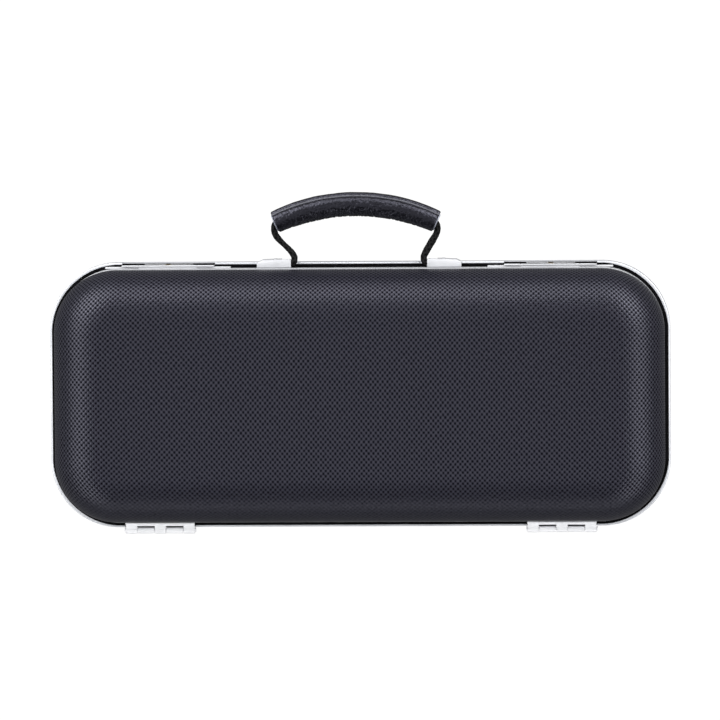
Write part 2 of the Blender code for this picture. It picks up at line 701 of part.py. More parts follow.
def make_bracket(label, sign, metal, base_valance):
    """Make one handle bracket, which holds an end of the cord over a notch that the cord folds down into."""
    low_z = SEAM - BRACKET_LOW_DOWN
    high_z = SEAM + BRACKET_TOP_UP
    clear_z = SEAM + BRACKET_CLEAR_UP
    origin = (sign * BRACKET_INNER, outward(FRONT, BASE_VALANCE_OUT + GAP), SEAM)
    bracket = add_object(
        "handle_bracket_" + label, bracket_block(sign, BASE_VALANCE_OUT + GAP, low_z, high_z), metal, origin)
    cap = add_tool("bracket_cap_" + label, bracket_block(sign, LID_VALANCE_OUT + GAP, clear_z, high_z))
    tunnel_radius = CORD_RADIUS + CORD_SLACK
    tunnel_ends = (
        (sign * (BRACKET_INNER - OVERRUN), tunnel_radius),
        (sign * (BRACKET_INNER + CORD_IN_BRACKET + GAP), tunnel_radius),
    )
    tunnel = add_tool("bracket_tunnel_" + label, turned_along_x(CORD_AXIS.y, CORD_AXIS.z, tunnel_ends))
    notch = add_tool("bracket_notch_" + label, box(
        (sign * (BRACKET_INNER - OVERRUN), outward(FRONT, BASE_VALANCE_OUT), low_z - OVERRUN),
        (sign * (BRACKET_INNER + BRACKET_NOTCH_LENGTH), outward(FRONT, BRACKET_OUT + OVERRUN),
         CORD_AXIS.z - tunnel_radius - BRACKET_TUNNEL_WALL),
    ))
    screw_x = sign * (BRACKET_INNER + BRACKET_SCREW_ALONG)
    screw_z = SEAM - BRACKET_SCREW_DOWN
    face = BRACKET_OUT - BRACKET_TAPER * BRACKET_SCREW_ALONG / (BRACKET_LENGTH - BRACKET_CORNER)
    head_seat = face - SCREW_HEAD_SINK
    foot = BASE_VALANCE_OUT - SCREW_BITE
    screw_stations = (
        (foot, SCREW_SHANK),
        (head_seat + GAP, SCREW_SHANK),
        (head_seat + GAP, SCREW_HEAD),
        (face + SCREW_HEAD_PROUD / 2, SCREW_HEAD),
        (face + SCREW_HEAD_PROUD, SCREW_HEAD / 2),
    )
    screw_origin = (screw_x, outward(FRONT, face), screw_z)
    screw = turned_outward(FRONT, screw_x, screw_z, screw_stations)
    shade_round(add_object("bracket_screw_" + label, screw, metal, screw_origin))
    well_ends = ((head_seat, SCREW_HEAD + HOLE_SLACK), (BRACKET_OUT + OVERRUN, SCREW_HEAD + HOLE_SLACK))
    well = add_tool("screw_well_" + label, turned_outward(FRONT, screw_x, screw_z, well_ends))
    hole_ends = ((foot - GAP, SCREW_SHANK + GAP), (face, SCREW_SHANK + GAP))
    hole = add_tool("screw_hole_" + label, turned_outward(FRONT, screw_x, screw_z, hole_ends))
    combine(bracket, [cap], [tunnel, notch, hole, well])
    combine(base_valance, cuts=[hole])


def grip_point(angle, radial, rise):
    """Return a point beside the grip's arc, out along its radius and up from its plane."""
    distance = GRIP_ARC_RADIUS + radial
    out = GRIP_PEAK_OUT - GRIP_ARC_RADIUS + distance * math.cos(angle)
    return Vector((distance * math.sin(angle), outward(FRONT, out), CORD_AXIS.z + rise))


def grip_loop(angle, radius, welt):
    """Return a section of the grip, with its outermost point drawn out as the sewn welt."""
    loop = []
    for step in range(ROUND_STEPS):
        turn = 2 * math.pi * step / ROUND_STEPS
        reach = radius + (welt if step == 0 else 0)
        loop.append(grip_point(angle, reach * math.cos(turn), reach * math.sin(turn)))
    return loop


def arc_tube(half_angle, outer_radius, end_radius, inner_radius, welt):
    """Return a tube along the grip's arc, a little slimmer at its ends."""
    outer = []
    inner = []
    for station in range(GRIP_STATIONS + 1):
        share = 2 * station / GRIP_STATIONS - 1
        radius = outer_radius + (end_radius - outer_radius) * share ** GRIP_SLIMMING_POWER
        outer.append(grip_loop(share * half_angle, radius, welt))
        inner.append(grip_loop(share * half_angle, inner_radius, 0))
    return loft(outer + list(reversed(inner)), closed=True)


def smooth_route(points):
    """Return points every CORD_STEP or so along a Catmull-Rom curve through the route's points."""
    padded = [points[0] * 2 - points[1], *points, points[-1] * 2 - points[-2]]
    route = [points[0]]
    for before, start, end, after in zip(padded, padded[1:], padded[2:], padded[3:]):
        pieces = max(1, round((end - start).length / CORD_STEP))
        for piece in range(1, pieces + 1):
            t = piece / pieces
            route.append((
                2 * start + (end - before) * t + (2 * before - 5 * start + 4 * end - after) * t ** 2
                + (3 * start - before - 3 * end + after) * t ** 3
            ) / 2)
    return route


def cord_points():
    """Return the whole cord's route, from inside one bracket through the grip to the other."""
    right = [Vector((BRACKET_INNER + CORD_IN_BRACKET, CORD_AXIS.y, CORD_AXIS.z))]
    right += [Vector((x, outward(FRONT, out), CORD_AXIS.z)) for x, out in CORD_ROUTE]
    side = smooth_route(right)
    last_angle = math.asin(side[-1].x / GRIP_ARC_RADIUS)
    middle = []
    for station in range(1, GRIP_STATIONS):
        share = 1 - 2 * station / GRIP_STATIONS
        middle.append(grip_point(share * last_angle, 0, 0))
    left = [Vector((-point.x, point.y, point.z)) for point in reversed(side)]
    return side + middle + left


def make_handle(leather, padding, braid):
    """Make the leather grip, its padded core and the cord that hangs them from the brackets."""
    handle_axis = make_empty("handle_axis", CORD_AXIS)
    half_angle = math.asin(GRIP_HALF_CHORD / GRIP_ARC_RADIUS)
    grip = arc_tube(half_angle, GRIP_RADIUS, GRIP_END_RADIUS, GRIP_BORE, GRIP_WELT)
    shade_round(add_object("handle_grip", grip, leather, CORD_AXIS, handle_axis))
    core_angle = math.asin((GRIP_HALF_CHORD - CORE_END) / GRIP_ARC_RADIUS)
    core_radius = GRIP_BORE - GAP
    core = arc_tube(core_angle, core_radius, core_radius, CORD_RADIUS + GAP, 0)
    shade_round(add_object("handle_core", core, padding, CORD_AXIS, handle_axis))
    curve = bpy.data.curves.new("handle_cord", "CURVE")
    curve.dimensions = "3D"
    curve.bevel_depth = CORD_RADIUS
    curve.bevel_resolution = 2
    curve.use_fill_caps = True
    curve.materials.append(braid)
    points = cord_points()
    spline = curve.splines.new("POLY")
    spline.points.add(len(points) - 1)
    for slot, point in zip(spline.points, points):
        slot.co = (*(point - CORD_AXIS), 1)
    cord = bpy.data.objects.new("handle_cord", curve)
    cord.parent = handle_axis
    bpy.context.scene.collection.objects.link(cord)


def main():
    """Build the case."""
    clear_scene()
    weave = make_material("woven_shell", (0.035, 0.035, 0.048), 0.45)
    silver = make_material("satin_metal", (0.72, 0.73, 0.75), 0.30, 1.0)
    brass = make_material("brass_stud", (0.62, 0.48, 0.24), 0.30, 1.0)
    rubber = make_material("black_seal", (0.012, 0.012, 0.014), 0.60)
    plush = make_material("black_plush", (0.020, 0.020, 0.026), 0.95)
    leather = make_material("black_leather", (0.022, 0.022, 0.028), 0.50)
    padding = make_material("grip_padding", (0.30, 0.28, 0.25), 0.90)
    braid = make_material("braided_cord", (0.015, 0.015, 0.016), 0.80)
    lid_axis = make_empty("lid_axis", HINGE_AXIS)
    make_shells(weave, lid_axis)
    lid_valance, base_valance = make_valances(silver, lid_axis)
    make_seal(rubber)
    make_bed(plush)
    make_lining(plush, lid_axis)
    for label, sign in (("left", -1), ("right", 1)):
        hinge_x = sign * (SHELL_LENGTH / 2 - HINGE_FROM_END)
        latch_x = sign * (SHELL_LENGTH / 2 - LATCH_FROM_END)
        make_hinge(label, hinge_x, silver, lid_axis, lid_valance, base_valance)
        make_latch(label, latch_x, silver, brass, lid_axis, lid_valance, base_valance)
        make_bracket(label, sign, silver, base_valance)
    make_handle(leather, padding, braid)


main()
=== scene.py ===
"""Looks of a hard oboe case: woven shells, satin metal, a leather grip on a braided cord, plush inside."""

import json
import logging
import math
from dataclasses import dataclass, field
from enum import Enum

import bmesh
import bpy
from mathutils import Matrix, Vector, noise


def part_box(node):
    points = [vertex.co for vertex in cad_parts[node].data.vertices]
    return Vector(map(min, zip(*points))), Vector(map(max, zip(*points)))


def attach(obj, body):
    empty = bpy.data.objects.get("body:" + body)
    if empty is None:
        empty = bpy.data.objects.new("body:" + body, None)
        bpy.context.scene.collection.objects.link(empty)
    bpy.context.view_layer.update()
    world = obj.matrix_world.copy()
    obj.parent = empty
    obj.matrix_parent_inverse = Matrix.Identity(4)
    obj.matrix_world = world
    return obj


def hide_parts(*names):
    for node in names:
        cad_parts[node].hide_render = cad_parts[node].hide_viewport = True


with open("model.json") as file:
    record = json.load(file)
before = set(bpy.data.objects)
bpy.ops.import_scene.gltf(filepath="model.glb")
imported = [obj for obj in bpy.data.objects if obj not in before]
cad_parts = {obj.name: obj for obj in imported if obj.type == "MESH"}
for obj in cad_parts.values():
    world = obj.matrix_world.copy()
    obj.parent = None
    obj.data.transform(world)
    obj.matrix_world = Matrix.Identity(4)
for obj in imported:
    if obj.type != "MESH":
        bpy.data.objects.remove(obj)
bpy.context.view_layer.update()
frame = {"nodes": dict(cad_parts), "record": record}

LOG = logging.getLogger("oboe_case")

MM = 0.001
LID_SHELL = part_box("lid_shell")
BASE_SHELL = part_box("base_shell")
PLAN_RADIUS = 38.5 * MM
HALF_LENGTH = LID_SHELL[1].x
HALF_WIDTH = LID_SHELL[1].y
JOINTS = {joint["name"]: Vector(joint["pos_m"]) for joint in frame["record"]["behaviour"]["joints"]}
SEAM = JOINTS["lid_hinge"].z
HANDLE_AXIS = JOINTS["handle_swing"]
FADE_START = 58.0 * MM
FADE_RUN = 10.0 * MM
FADE_SHARE = 0.8
HANG_ASIDE = 1.9 * MM
HANG_START = 8.0 * MM
HANG_RUN = 12.0 * MM


class Half(Enum):
    """The two halves of the case."""

    BASE = "base"
    LID = "lid"

    @property
    def direction(self) -> int:
        """Return the sign of Z from the seam towards the half's flat face."""
        return 1 if self is Half.LID else -1


class Side(Enum):
    """The long sides of the case."""

    FRONT = -1
    BACK = 1

    def y(self, out: float) -> float:
        """Return the Y of a point that lies an outward distance beyond this side's wall."""
        return self.value * (HALF_WIDTH + out)


# Finishes


class NodeSketch:
    """A short way to write a material's nodes."""

    def __init__(self, name: str) -> None:
        """Start a material that holds only its Principled shader and output.

        Args:
            name: The material's name.
        """
        self.material = bpy.data.materials.new(name)
        self.material.use_nodes = True
        self.nodes = self.material.node_tree.nodes
        self.links = self.material.node_tree.links
        self.shader = self.nodes["Principled BSDF"]

    def set(self, **values: object) -> None:
        """Set sockets of the shader, with underscores for the spaces in their names."""
        for name, value in values.items():
            self.shader.inputs[name.replace("_", " ")].default_value = value

    def add(self, kind: str, inputs: dict | None = None, **settings: object) -> bpy.types.Node:
        """Add a node.

        Args:
            kind: The node type's name without its ShaderNode prefix.
            inputs: Socket names or numbers with a value or a socket to link from.
            settings: The node's own properties.

        Returns:
            The new node.
        """
        node = self.nodes.new("ShaderNode" + kind)
        for name, value in settings.items():
            setattr(node, name, value)
        for name, value in (inputs or {}).items():
            if isinstance(value, bpy.types.NodeSocket):
                self.links.new(value, node.inputs[name])
            else:
                node.inputs[name].default_value = value
        return node

    def math(self, operation: str, first: object, second: object = 0.0) -> bpy.types.NodeSocket:
        """Return the output of a Math node."""
        return self.add("Math", {0: first, 1: second}, operation=operation).outputs[0]

    def noise(self, vector: bpy.types.NodeSocket, scale: float, detail: float = 3.0) -> bpy.types.NodeSocket:
        """Return the output of a Noise Texture node."""
        return self.add("TexNoise", {"Vector": vector, "Scale": scale, "Detail": detail}).outputs["Fac"]

    def ramp(self, factor: bpy.types.NodeSocket, stops: list[tuple[float, tuple]]) -> bpy.types.NodeSocket:
        """Return the colour output of a Color Ramp node with the given stops."""
        node = self.add("ValToRGB", {"Fac": factor})
        ramp = node.color_ramp
        while len(ramp.elements) < len(stops):
            ramp.elements.new(0.5)
        for element, (place, colour) in zip(ramp.elements, stops):
            element.position = place
            element.color = (*colour, 1.0) if len(colour) == 3 else colour
        return node.outputs["Color"]

    def object_place(self) -> bpy.types.NodeSocket:
        """Return the Object coordinate socket."""
        return self.add("TexCoord").outputs["Object"]

    def surface_place(self) -> bpy.types.NodeSocket:
        """Return the UV coordinate socket."""
        return self.add("TexCoord").outputs["UV"]

    def stretched(self, vector: bpy.types.NodeSocket, scale: tuple) -> bpy.types.NodeSocket:
        """Return the coordinates scaled by a Mapping node."""
        return self.add("Mapping", {"Vector": vector, "Scale": scale}).outputs["Vector"]

    def bump(self, heights: list[tuple[bpy.types.NodeSocket, float]]) -> None:
        """Chain bumps into the shader.

        Args:
            heights: Height sockets, each with its depth in metres.
        """
        normal = None
        for height, depth in heights:
            inputs = {"Height": height, "Distance": depth, "Strength": 1.0}
            if normal is not None:
                inputs["Normal"] = normal
            normal = self.add("Bump", inputs).outputs["Normal"]
        self.links.new(normal, self.shader.inputs["Normal"])

    def colour(self, socket: bpy.types.NodeSocket) -> None:
        """Link the shader's base colour."""
        self.links.new(socket, self.shader.inputs["Base Color"])

    def roughness(self, factor: bpy.types.NodeSocket, low: float, high: float) -> None:
        """Link the shader's roughness to a factor, spread between two values."""
        spread = self.add("MapRange", {"Value": factor, "To Min": low, "To Max": high})
        self.links.new(spread.outputs["Result"], self.shader.inputs["Roughness"])


@dataclass(frozen=True)
class WovenComposite:
    """Black moulded shell with a pressed basket weave on the piece's own UV map, one unit a cell."""

    # The first colour is painted shade in the weave's pits, the middle one the shell's own dark grey, and the
    # third a painted highlight on the cell tops.
    painted_pit_shade: tuple = (0.0006, 0.0005, 0.0014)
    net: tuple = (0.0066, 0.0066, 0.0108)
    polish_and_painted_highlight: tuple = (0.0112, 0.0112, 0.0170)
    gloss: float = 0.54
    fade_from: float = 57.0 * MM
    fade_to: float = 66.0 * MM
    plain_share: float = 0.43
    cell_depth: float = 0.20 * MM
    thread_depth: float = 0.03 * MM

    def make(self) -> bpy.types.Material:
        """Return the material."""
        sketch = NodeSketch("woven_composite")
        place = sketch.surface_place()
        split = sketch.add("SeparateXYZ", {0: place})
        waves = [sketch.math("SINE", sketch.math("MULTIPLY", axis, math.pi)) for axis in split.outputs[:2]]
        weave = sketch.math("MULTIPLY", *waves)
        half = sketch.math("MULTIPLY_ADD", weave, 0.5)
        half.node.inputs[2].default_value = 0.5
        depth = sketch.add("SeparateXYZ", {0: sketch.object_place()}).outputs[1]
        faded = sketch.add("MapRange", {"Value": depth, "From Min": self.fade_from, "From Max": self.fade_to,
                                        "To Min": 0.0, "To Max": FADE_SHARE}).outputs["Result"]
        plain = sketch.math("MULTIPLY", sketch.math("SUBTRACT", self.plain_share, half), faded)
        half = sketch.math("ADD", half, plain)
        drift = sketch.noise(place, 0.9, 3.0)
        mixed = sketch.math("MULTIPLY_ADD", sketch.math("SUBTRACT", drift, 0.5), 0.55)
        sketch.links.new(half, mixed.node.inputs[2])
        # The colour follows the relief: painted shade darkens the pits and a painted highlight lightens the
        # cell tops.
        sketch.colour(sketch.ramp(mixed, [(0.12, self.painted_pit_shade), (0.40, self.net), (1.0, self.polish_and_painted_highlight)]))
        shine = sketch.add("MapRange", {
            "Value": mixed, "From Min": 0.16, "From Max": 0.80, "To Min": 0.03, "To Max": self.gloss,
        })
        sketch.links.new(shine.outputs["Result"], sketch.shader.inputs["Specular IOR Level"])
        threads = sketch.noise(sketch.stretched(place, (4.0, 4.0, 4.0)), 1.0, 2.0)
        sketch.roughness(half, 0.54, 0.28)
        sketch.bump([(half, self.cell_depth), (threads, self.thread_depth)])
        sketch.set(Specular_Tint=(0.84, 0.84, 1.0, 1.0))
        return sketch.material


@dataclass(frozen=True)
class SatinMetal:
    """Satin drawn or plated metal with fine grain along X and a few faint scuffs."""

    name: str = "satin_aluminium"
    tint: tuple = (0.56, 0.57, 0.60)
    dull: tuple = (0.48, 0.49, 0.52)
    roughness: float = 0.42
    metallic: float = 0.60
    grain: tuple = (40.0, 1500.0, 1500.0)

    def make(self) -> bpy.types.Material:
        """Return the material."""
        sketch = NodeSketch(self.name)
        place = sketch.object_place()
        grain = sketch.noise(sketch.stretched(place, self.grain), 1.0, 2.0)
        blotch = sketch.noise(place, 45.0, 5.0)
        scuff = sketch.noise(place, 900.0, 2.0)
        sketch.colour(sketch.ramp(blotch, [(0.3, self.dull), (0.6, self.tint)]))
        sketch.roughness(grain, self.roughness - 0.08, self.roughness + 0.10)
        sketch.bump([(grain, 0.004 * MM), (scuff, 0.002 * MM)])
        sketch.set(Metallic=self.metallic)
        return sketch.material


@dataclass(frozen=True)
class SealRubber:
    """Matte black rubber."""

    name: str = "seal_rubber"

    def make(self) -> bpy.types.Material:
        """Return the material."""
        sketch = NodeSketch(self.name)
        dust = sketch.noise(sketch.object_place(), 300.0, 4.0)
        sketch.colour(sketch.ramp(dust, [(0.4, (0.001, 0.001, 0.001)), (0.7, (0.003, 0.003, 0.004))]))
        sketch.set(Specular_IOR_Level=0.03)
        sketch.roughness(dust, 0.65, 0.85)
        sketch.bump([(dust, 0.02 * MM)])
        return sketch.material


@dataclass(frozen=True)
class PlainFinish:
    """A dull surface with a fine grain, for brass, raw leather, foam and the like."""

    name: str
    tint: tuple
    shade: tuple
    roughness: float = 0.8
    metallic: float = 0.0
    grain: float = 700.0
    depth: float = 0.03 * MM

    def make(self) -> bpy.types.Material:
        """Return the material."""
        sketch = NodeSketch(self.name)
        place = sketch.object_place()
        grain = sketch.noise(place, self.grain, 3.0)
        sketch.colour(sketch.ramp(grain, [(0.35, self.shade), (0.65, self.tint)]))
        sketch.roughness(grain, self.roughness - 0.08, self.roughness + 0.08)
        sketch.bump([(grain, self.depth)])
        sketch.set(Metallic=self.metallic)
        return sketch.material


@dataclass(frozen=True)
class Plush:
    """Short napped plush with a soft sheen and brushed patches."""

    name: str = "plush"
    pile: tuple = (0.010, 0.010, 0.014)
    tip: tuple = (0.030, 0.030, 0.040)

    def make(self) -> bpy.types.Material:
        """Return the material."""
        sketch = NodeSketch(self.name)
        place = sketch.object_place()
        nap = sketch.noise(place, 1400.0, 2.0)
        brushed = sketch.noise(place, 28.0, 4.0)
        mixed = sketch.math("MULTIPLY_ADD", nap, 0.5)
        sketch.links.new(sketch.math("MULTIPLY", brushed, 0.5), mixed.node.inputs[2])
        sketch.colour(sketch.ramp(mixed, [(0.35, self.pile), (0.65, self.tip)]))
        sketch.bump([(nap, 0.25 * MM), (brushed, 0.6 * MM)])
        sketch.set(Roughness=0.95, Sheen_Weight=0.5, Sheen_Roughness=0.4, Sheen_Tint=(0.6, 0.6, 0.75, 1.0))
        return sketch.material


@dataclass(frozen=True)
class GripLeather:
    """Soft black leather with a pebbled grain, that shines a little where hands polish it."""

    low: tuple = (0.0003, 0.0003, 0.0006)
    high: tuple = (0.0018, 0.0018, 0.0030)

    def make(self) -> bpy.types.Material:
        """Return the material."""
        sketch = NodeSketch("grip_leather")
        place = sketch.object_place()
        warp = sketch.add("TexNoise", {"Vector": place, "Scale": 260.0, "Detail": 2.0}).outputs["Color"]
        bend = {0: warp, 1: (1.2 * MM, 1.2 * MM, 1.2 * MM)}
        bent = sketch.add("VectorMath", bend, operation="MULTIPLY").outputs[0]
        place = sketch.add("VectorMath", {0: place, 1: bent}, operation="ADD").outputs[0]
        cells = sketch.add("TexVoronoi", {"Vector": place, "Scale": 680.0}, feature="SMOOTH_F1")
        pebble = sketch.math("SUBTRACT", 1.0, cells.outputs["Distance"])
        fine = sketch.noise(place, 1900.0, 3.0)
        # Here the noise only spreads the leather's roughness where hands polish it.
        polish_and_painted_highlight = sketch.noise(place, 60.0, 3.0)
        sketch.colour(sketch.ramp(pebble, [(0.35, self.low), (0.9, self.high)]))
        sketch.roughness(polish_and_painted_highlight, 0.24, 0.38)
        sketch.bump([(pebble, 0.28 * MM), (fine, 0.03 * MM)])
        sketch.set(Specular_IOR_Level=0.42, Specular_Tint=(0.80, 0.80, 1.0, 1.0))
        return sketch.material


@dataclass(frozen=True)
class BraidCord:
    """Matt black braid, greyed where the strands rise."""

    low: tuple = (0.0006, 0.0006, 0.0007)
    high: tuple = (0.0095, 0.0095, 0.0095)

    def make(self) -> bpy.types.Material:
        """Return the material."""
        sketch = NodeSketch("cord_braid")
        place = sketch.object_place()
        split = sketch.add("SeparateXYZ", {0: sketch.surface_place()})
        ways = []
        for operation in ("ADD", "SUBTRACT"):
            phase = sketch.math(operation, *split.outputs[:2])
            ways.append(sketch.math("SINE", sketch.math("MULTIPLY", phase, math.tau)))
        raised = sketch.math("MAXIMUM", *ways)
        dust = sketch.noise(place, 900.0, 3.0)
        mixed = sketch.math("MULTIPLY_ADD", raised, 0.35)
        sketch.links.new(dust, mixed.node.inputs[2])
        sketch.colour(sketch.ramp(mixed, [(0.45, self.low), (0.95, self.high)]))
        sketch.bump([(sketch.noise(place, 2600.0, 3.0), 0.06 * MM)])
        sketch.set(Roughness=0.7, Specular_IOR_Level=0.08)
        return sketch.material


# Mesh helpers

MERGE = 0.002 * MM


def plan_place(point: Vector, out: float) -> tuple[float, float]:
    """Return where a point's line from the plan's corner core meets the outline, moved outward."""
    core_x = HALF_LENGTH - PLAN_RADIUS
    core_y = HALF_WIDTH - PLAN_RADIUS
    centre = Vector((max(-core_x, min(core_x, point.x)), max(-core_y, min(core_y, point.y))))
    normal = (Vector((point.x, point.y)) - centre).normalized()
    place = centre + normal * (PLAN_RADIUS + out)
    return place.x, place.y


def set_ring(verts: list, out: float, z: float) -> None:
    """Move vertices along their outward lines to a distance and height."""
    for vert in verts:
        vert.co.x, vert.co.y = plan_place(vert.co, out)
        vert.co.z = z


def extend_ring(builder: bmesh.types.BMesh, edges: list, out: float, z: float) -> list:
    """Extrude a closed ring of edges to a new distance and height.

    Args:
        builder: The mesh under work.
        edges: The ring's edges.
        out: The new outward distance.
        z: The new height.

    Returns:
        The new ring's edges.
    """
    new = bmesh.ops.extrude_edge_only(builder, edges=edges)["geom"]
    set_ring([item for item in new if isinstance(item, bmesh.types.BMVert)], out, z)
    return [item for item in new if isinstance(item, bmesh.types.BMEdge)]


def outline_ring(builder: bmesh.types.BMesh, out: float, z: float, corner_steps: int = 24) -> list:
    """Return the edges of a new ring round the case's plan outline."""
    segments = 4 * corner_steps
    circle = bmesh.ops.create_circle(builder, segments=segments, radius=1.0, cap_ends=False)
    core_x = HALF_LENGTH - PLAN_RADIUS
    core_y = HALF_WIDTH - PLAN_RADIUS
    turn = math.pi / segments
    for vert in circle["verts"]:
        angle = math.atan2(vert.co.y, vert.co.x) + turn
        vert.co.x = math.copysign(core_x, math.cos(angle)) + math.cos(angle)
        vert.co.y = math.copysign(core_y, math.sin(angle)) + math.sin(angle)
    set_ring(circle["verts"], out, z)
    return list({edge for vert in circle["verts"] for edge in vert.link_edges})


def hoop(profile: list[tuple[float, float]]) -> bmesh.types.BMesh:
    """Return a closed band round the case with a profile of (outward distance, height) points."""
    builder = bmesh.new()
    first = outline_ring(builder, *profile[0])
    ring = first
    for out, z in profile[1:]:
        ring = extend_ring(builder, ring, out, z)
    bmesh.ops.bridge_loops(builder, edges=ring + first)
    return builder


def finish_piece(
    builder: bmesh.types.BMesh,
    name: str,
    body: str,
    materials: list[bpy.types.Material],
    nodes: tuple[str, ...] = (),
    smooth_angle: float = 35.0,
) -> bpy.types.Object:
    """Turn a built mesh into a finished piece.

    Args:
        builder: The mesh, in the case's frame.
        name: The piece's name.
        body: The CAD body that it rides on.
        materials: Its material slots.
        nodes: The CAD nodes that it stands for.
        smooth_angle: The angle in degrees past which an edge stays sharp.

    Returns:
        The piece.
    """
    bmesh.ops.remove_doubles(builder, verts=builder.verts, dist=0.001 * MM)
    bmesh.ops.recalc_face_normals(builder, faces=builder.faces)
    mesh = bpy.data.meshes.new(name)
    builder.to_mesh(mesh)
    builder.free()
    mesh.shade_smooth()
    mesh.set_sharp_from_angle(angle=math.radians(smooth_angle))
    piece = bpy.data.objects.new(name, mesh)
    bpy.context.scene.collection.objects.link(piece)
    for material in materials:
        mesh.materials.append(material)
    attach(piece, body)
    if nodes:
        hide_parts(*nodes)
    LOG.info("%s rides on %s with %d faces", name, body, len(mesh.polygons))
    return piece


def slab(builder: bmesh.types.BMesh, low: Vector, high: Vector, bevel: float = 0.1 * MM) -> None:
    """Add a box with rounded edges.

    Args:
        builder: The mesh to add to.
        low: One corner.
        high: The opposite corner.
        bevel: The edges' rounding.
    """
    size = Vector([abs(a - b) for a, b in zip(low, high)])
    matrix = Matrix.Translation((Vector(low) + Vector(high)) / 2) @ Matrix.Diagonal((*size, 1.0))
    cube = bmesh.ops.create_cube(builder, size=1.0, matrix=matrix)
    edges = list({edge for vert in cube["verts"] for edge in vert.link_edges})
    bmesh.ops.bevel(
        builder, geom=edges, offset=bevel, offset_type="OFFSET", affect="EDGES", segments=3, profile=0.5,
        material=-1, clamp_overlap=True,
    )


def turned(builder: bmesh.types.BMesh, centre: Vector, axis: Vector, stations: list, steps: int = 40) -> None:
    """Add a turned solid.

    Args:
        builder: The mesh to add to.
        centre: The point that distances are measured from.
        axis: The axis, a unit vector.
        stations: (distance along the axis, radius) points, whose first and last lie on the axis.
        steps: The steps round.
    """
    side = axis.orthogonal().normalized()
    verts = [builder.verts.new(centre + axis * along + side * radius) for along, radius in stations]
    edges = [builder.edges.new(pair) for pair in zip(verts, verts[1:])]
    bmesh.ops.spin(
        builder, geom=verts + edges, cent=centre, axis=axis, angle=math.tau, steps=steps, use_merge=True,
    )


def barrel(builder: bmesh.types.BMesh, start: float, end: float, y: float, z: float, radius: float) -> None:
    """Add a cylinder along X with eased ends."""
    ease = radius * 0.12
    length = end - start
    stations = [(0.0, 0.0), (0.0, radius - ease), (ease, radius), (length - ease, radius),
                (length, radius - ease), (length, 0.0)]
    turned(builder, Vector((start, y, z)), Vector((1.0, 0.0, 0.0)), stations)


def refined(node: str, bevel: float) -> bmesh.types.BMesh:
    """Return a CAD node's mesh with its edges eased.

    Args:
        node: The node's name.
        bevel: The easing's width.

    Returns:
        A new mesh in the case's frame.
    """
    source = frame["nodes"][node]
    mesh = source.data.copy()
    mesh.transform(source.matrix_world)
    piece = bpy.data.objects.new(node + "_eased", mesh)
    bpy.context.scene.collection.objects.link(piece)
    weld = piece.modifiers.new("weld", "WELD")
    weld.merge_threshold = MERGE
    modifier = piece.modifiers.new("ease", "BEVEL")
    modifier.width = bevel
    modifier.segments = 3
    modifier.limit_method = "ANGLE"
    modifier.angle_limit = math.radians(40.0)
    modifier.use_clamp_overlap = True
    eased = bpy.data.meshes.new_from_object(piece.evaluated_get(bpy.context.evaluated_depsgraph_get()))
    bpy.data.objects.remove(piece)
    builder = bmesh.new()
    builder.from_mesh(eased)
    return builder


def cut_away(piece: bpy.types.Object, boxes: list[tuple[Vector, Vector]]) -> None:
    """Cut boxes out of a piece.

    Args:
        piece: The piece, whose mesh is replaced by the cut one.
        boxes: Lowest and highest corners of each box.
    """
    builder = bmesh.new()
    for low, high in boxes:
        size = high - low
        matrix = Matrix.Translation((low + high) / 2) @ Matrix.Diagonal((*size, 1.0))
        bmesh.ops.create_cube(builder, size=1.0, matrix=matrix)
    mesh = bpy.data.meshes.new("cutter")
    builder.to_mesh(mesh)
    builder.free()
    cutter = bpy.data.objects.new("cutter", mesh)
    bpy.context.scene.collection.objects.link(cutter)
    modifier = piece.modifiers.new("cut", "BOOLEAN")
    modifier.operation = "DIFFERENCE"
    modifier.solver = "EXACT"
    modifier.object = cutter
    view = bpy.context.evaluated_depsgraph_get()
    cut = bpy.data.meshes.new_from_object(piece.evaluated_get(view))
    piece.modifiers.clear()
    if not cut.polygons:
        raise RuntimeError(f"cutting left nothing of {piece.name}")
    piece.data = cut
    bpy.data.objects.remove(cutter)


# Case body


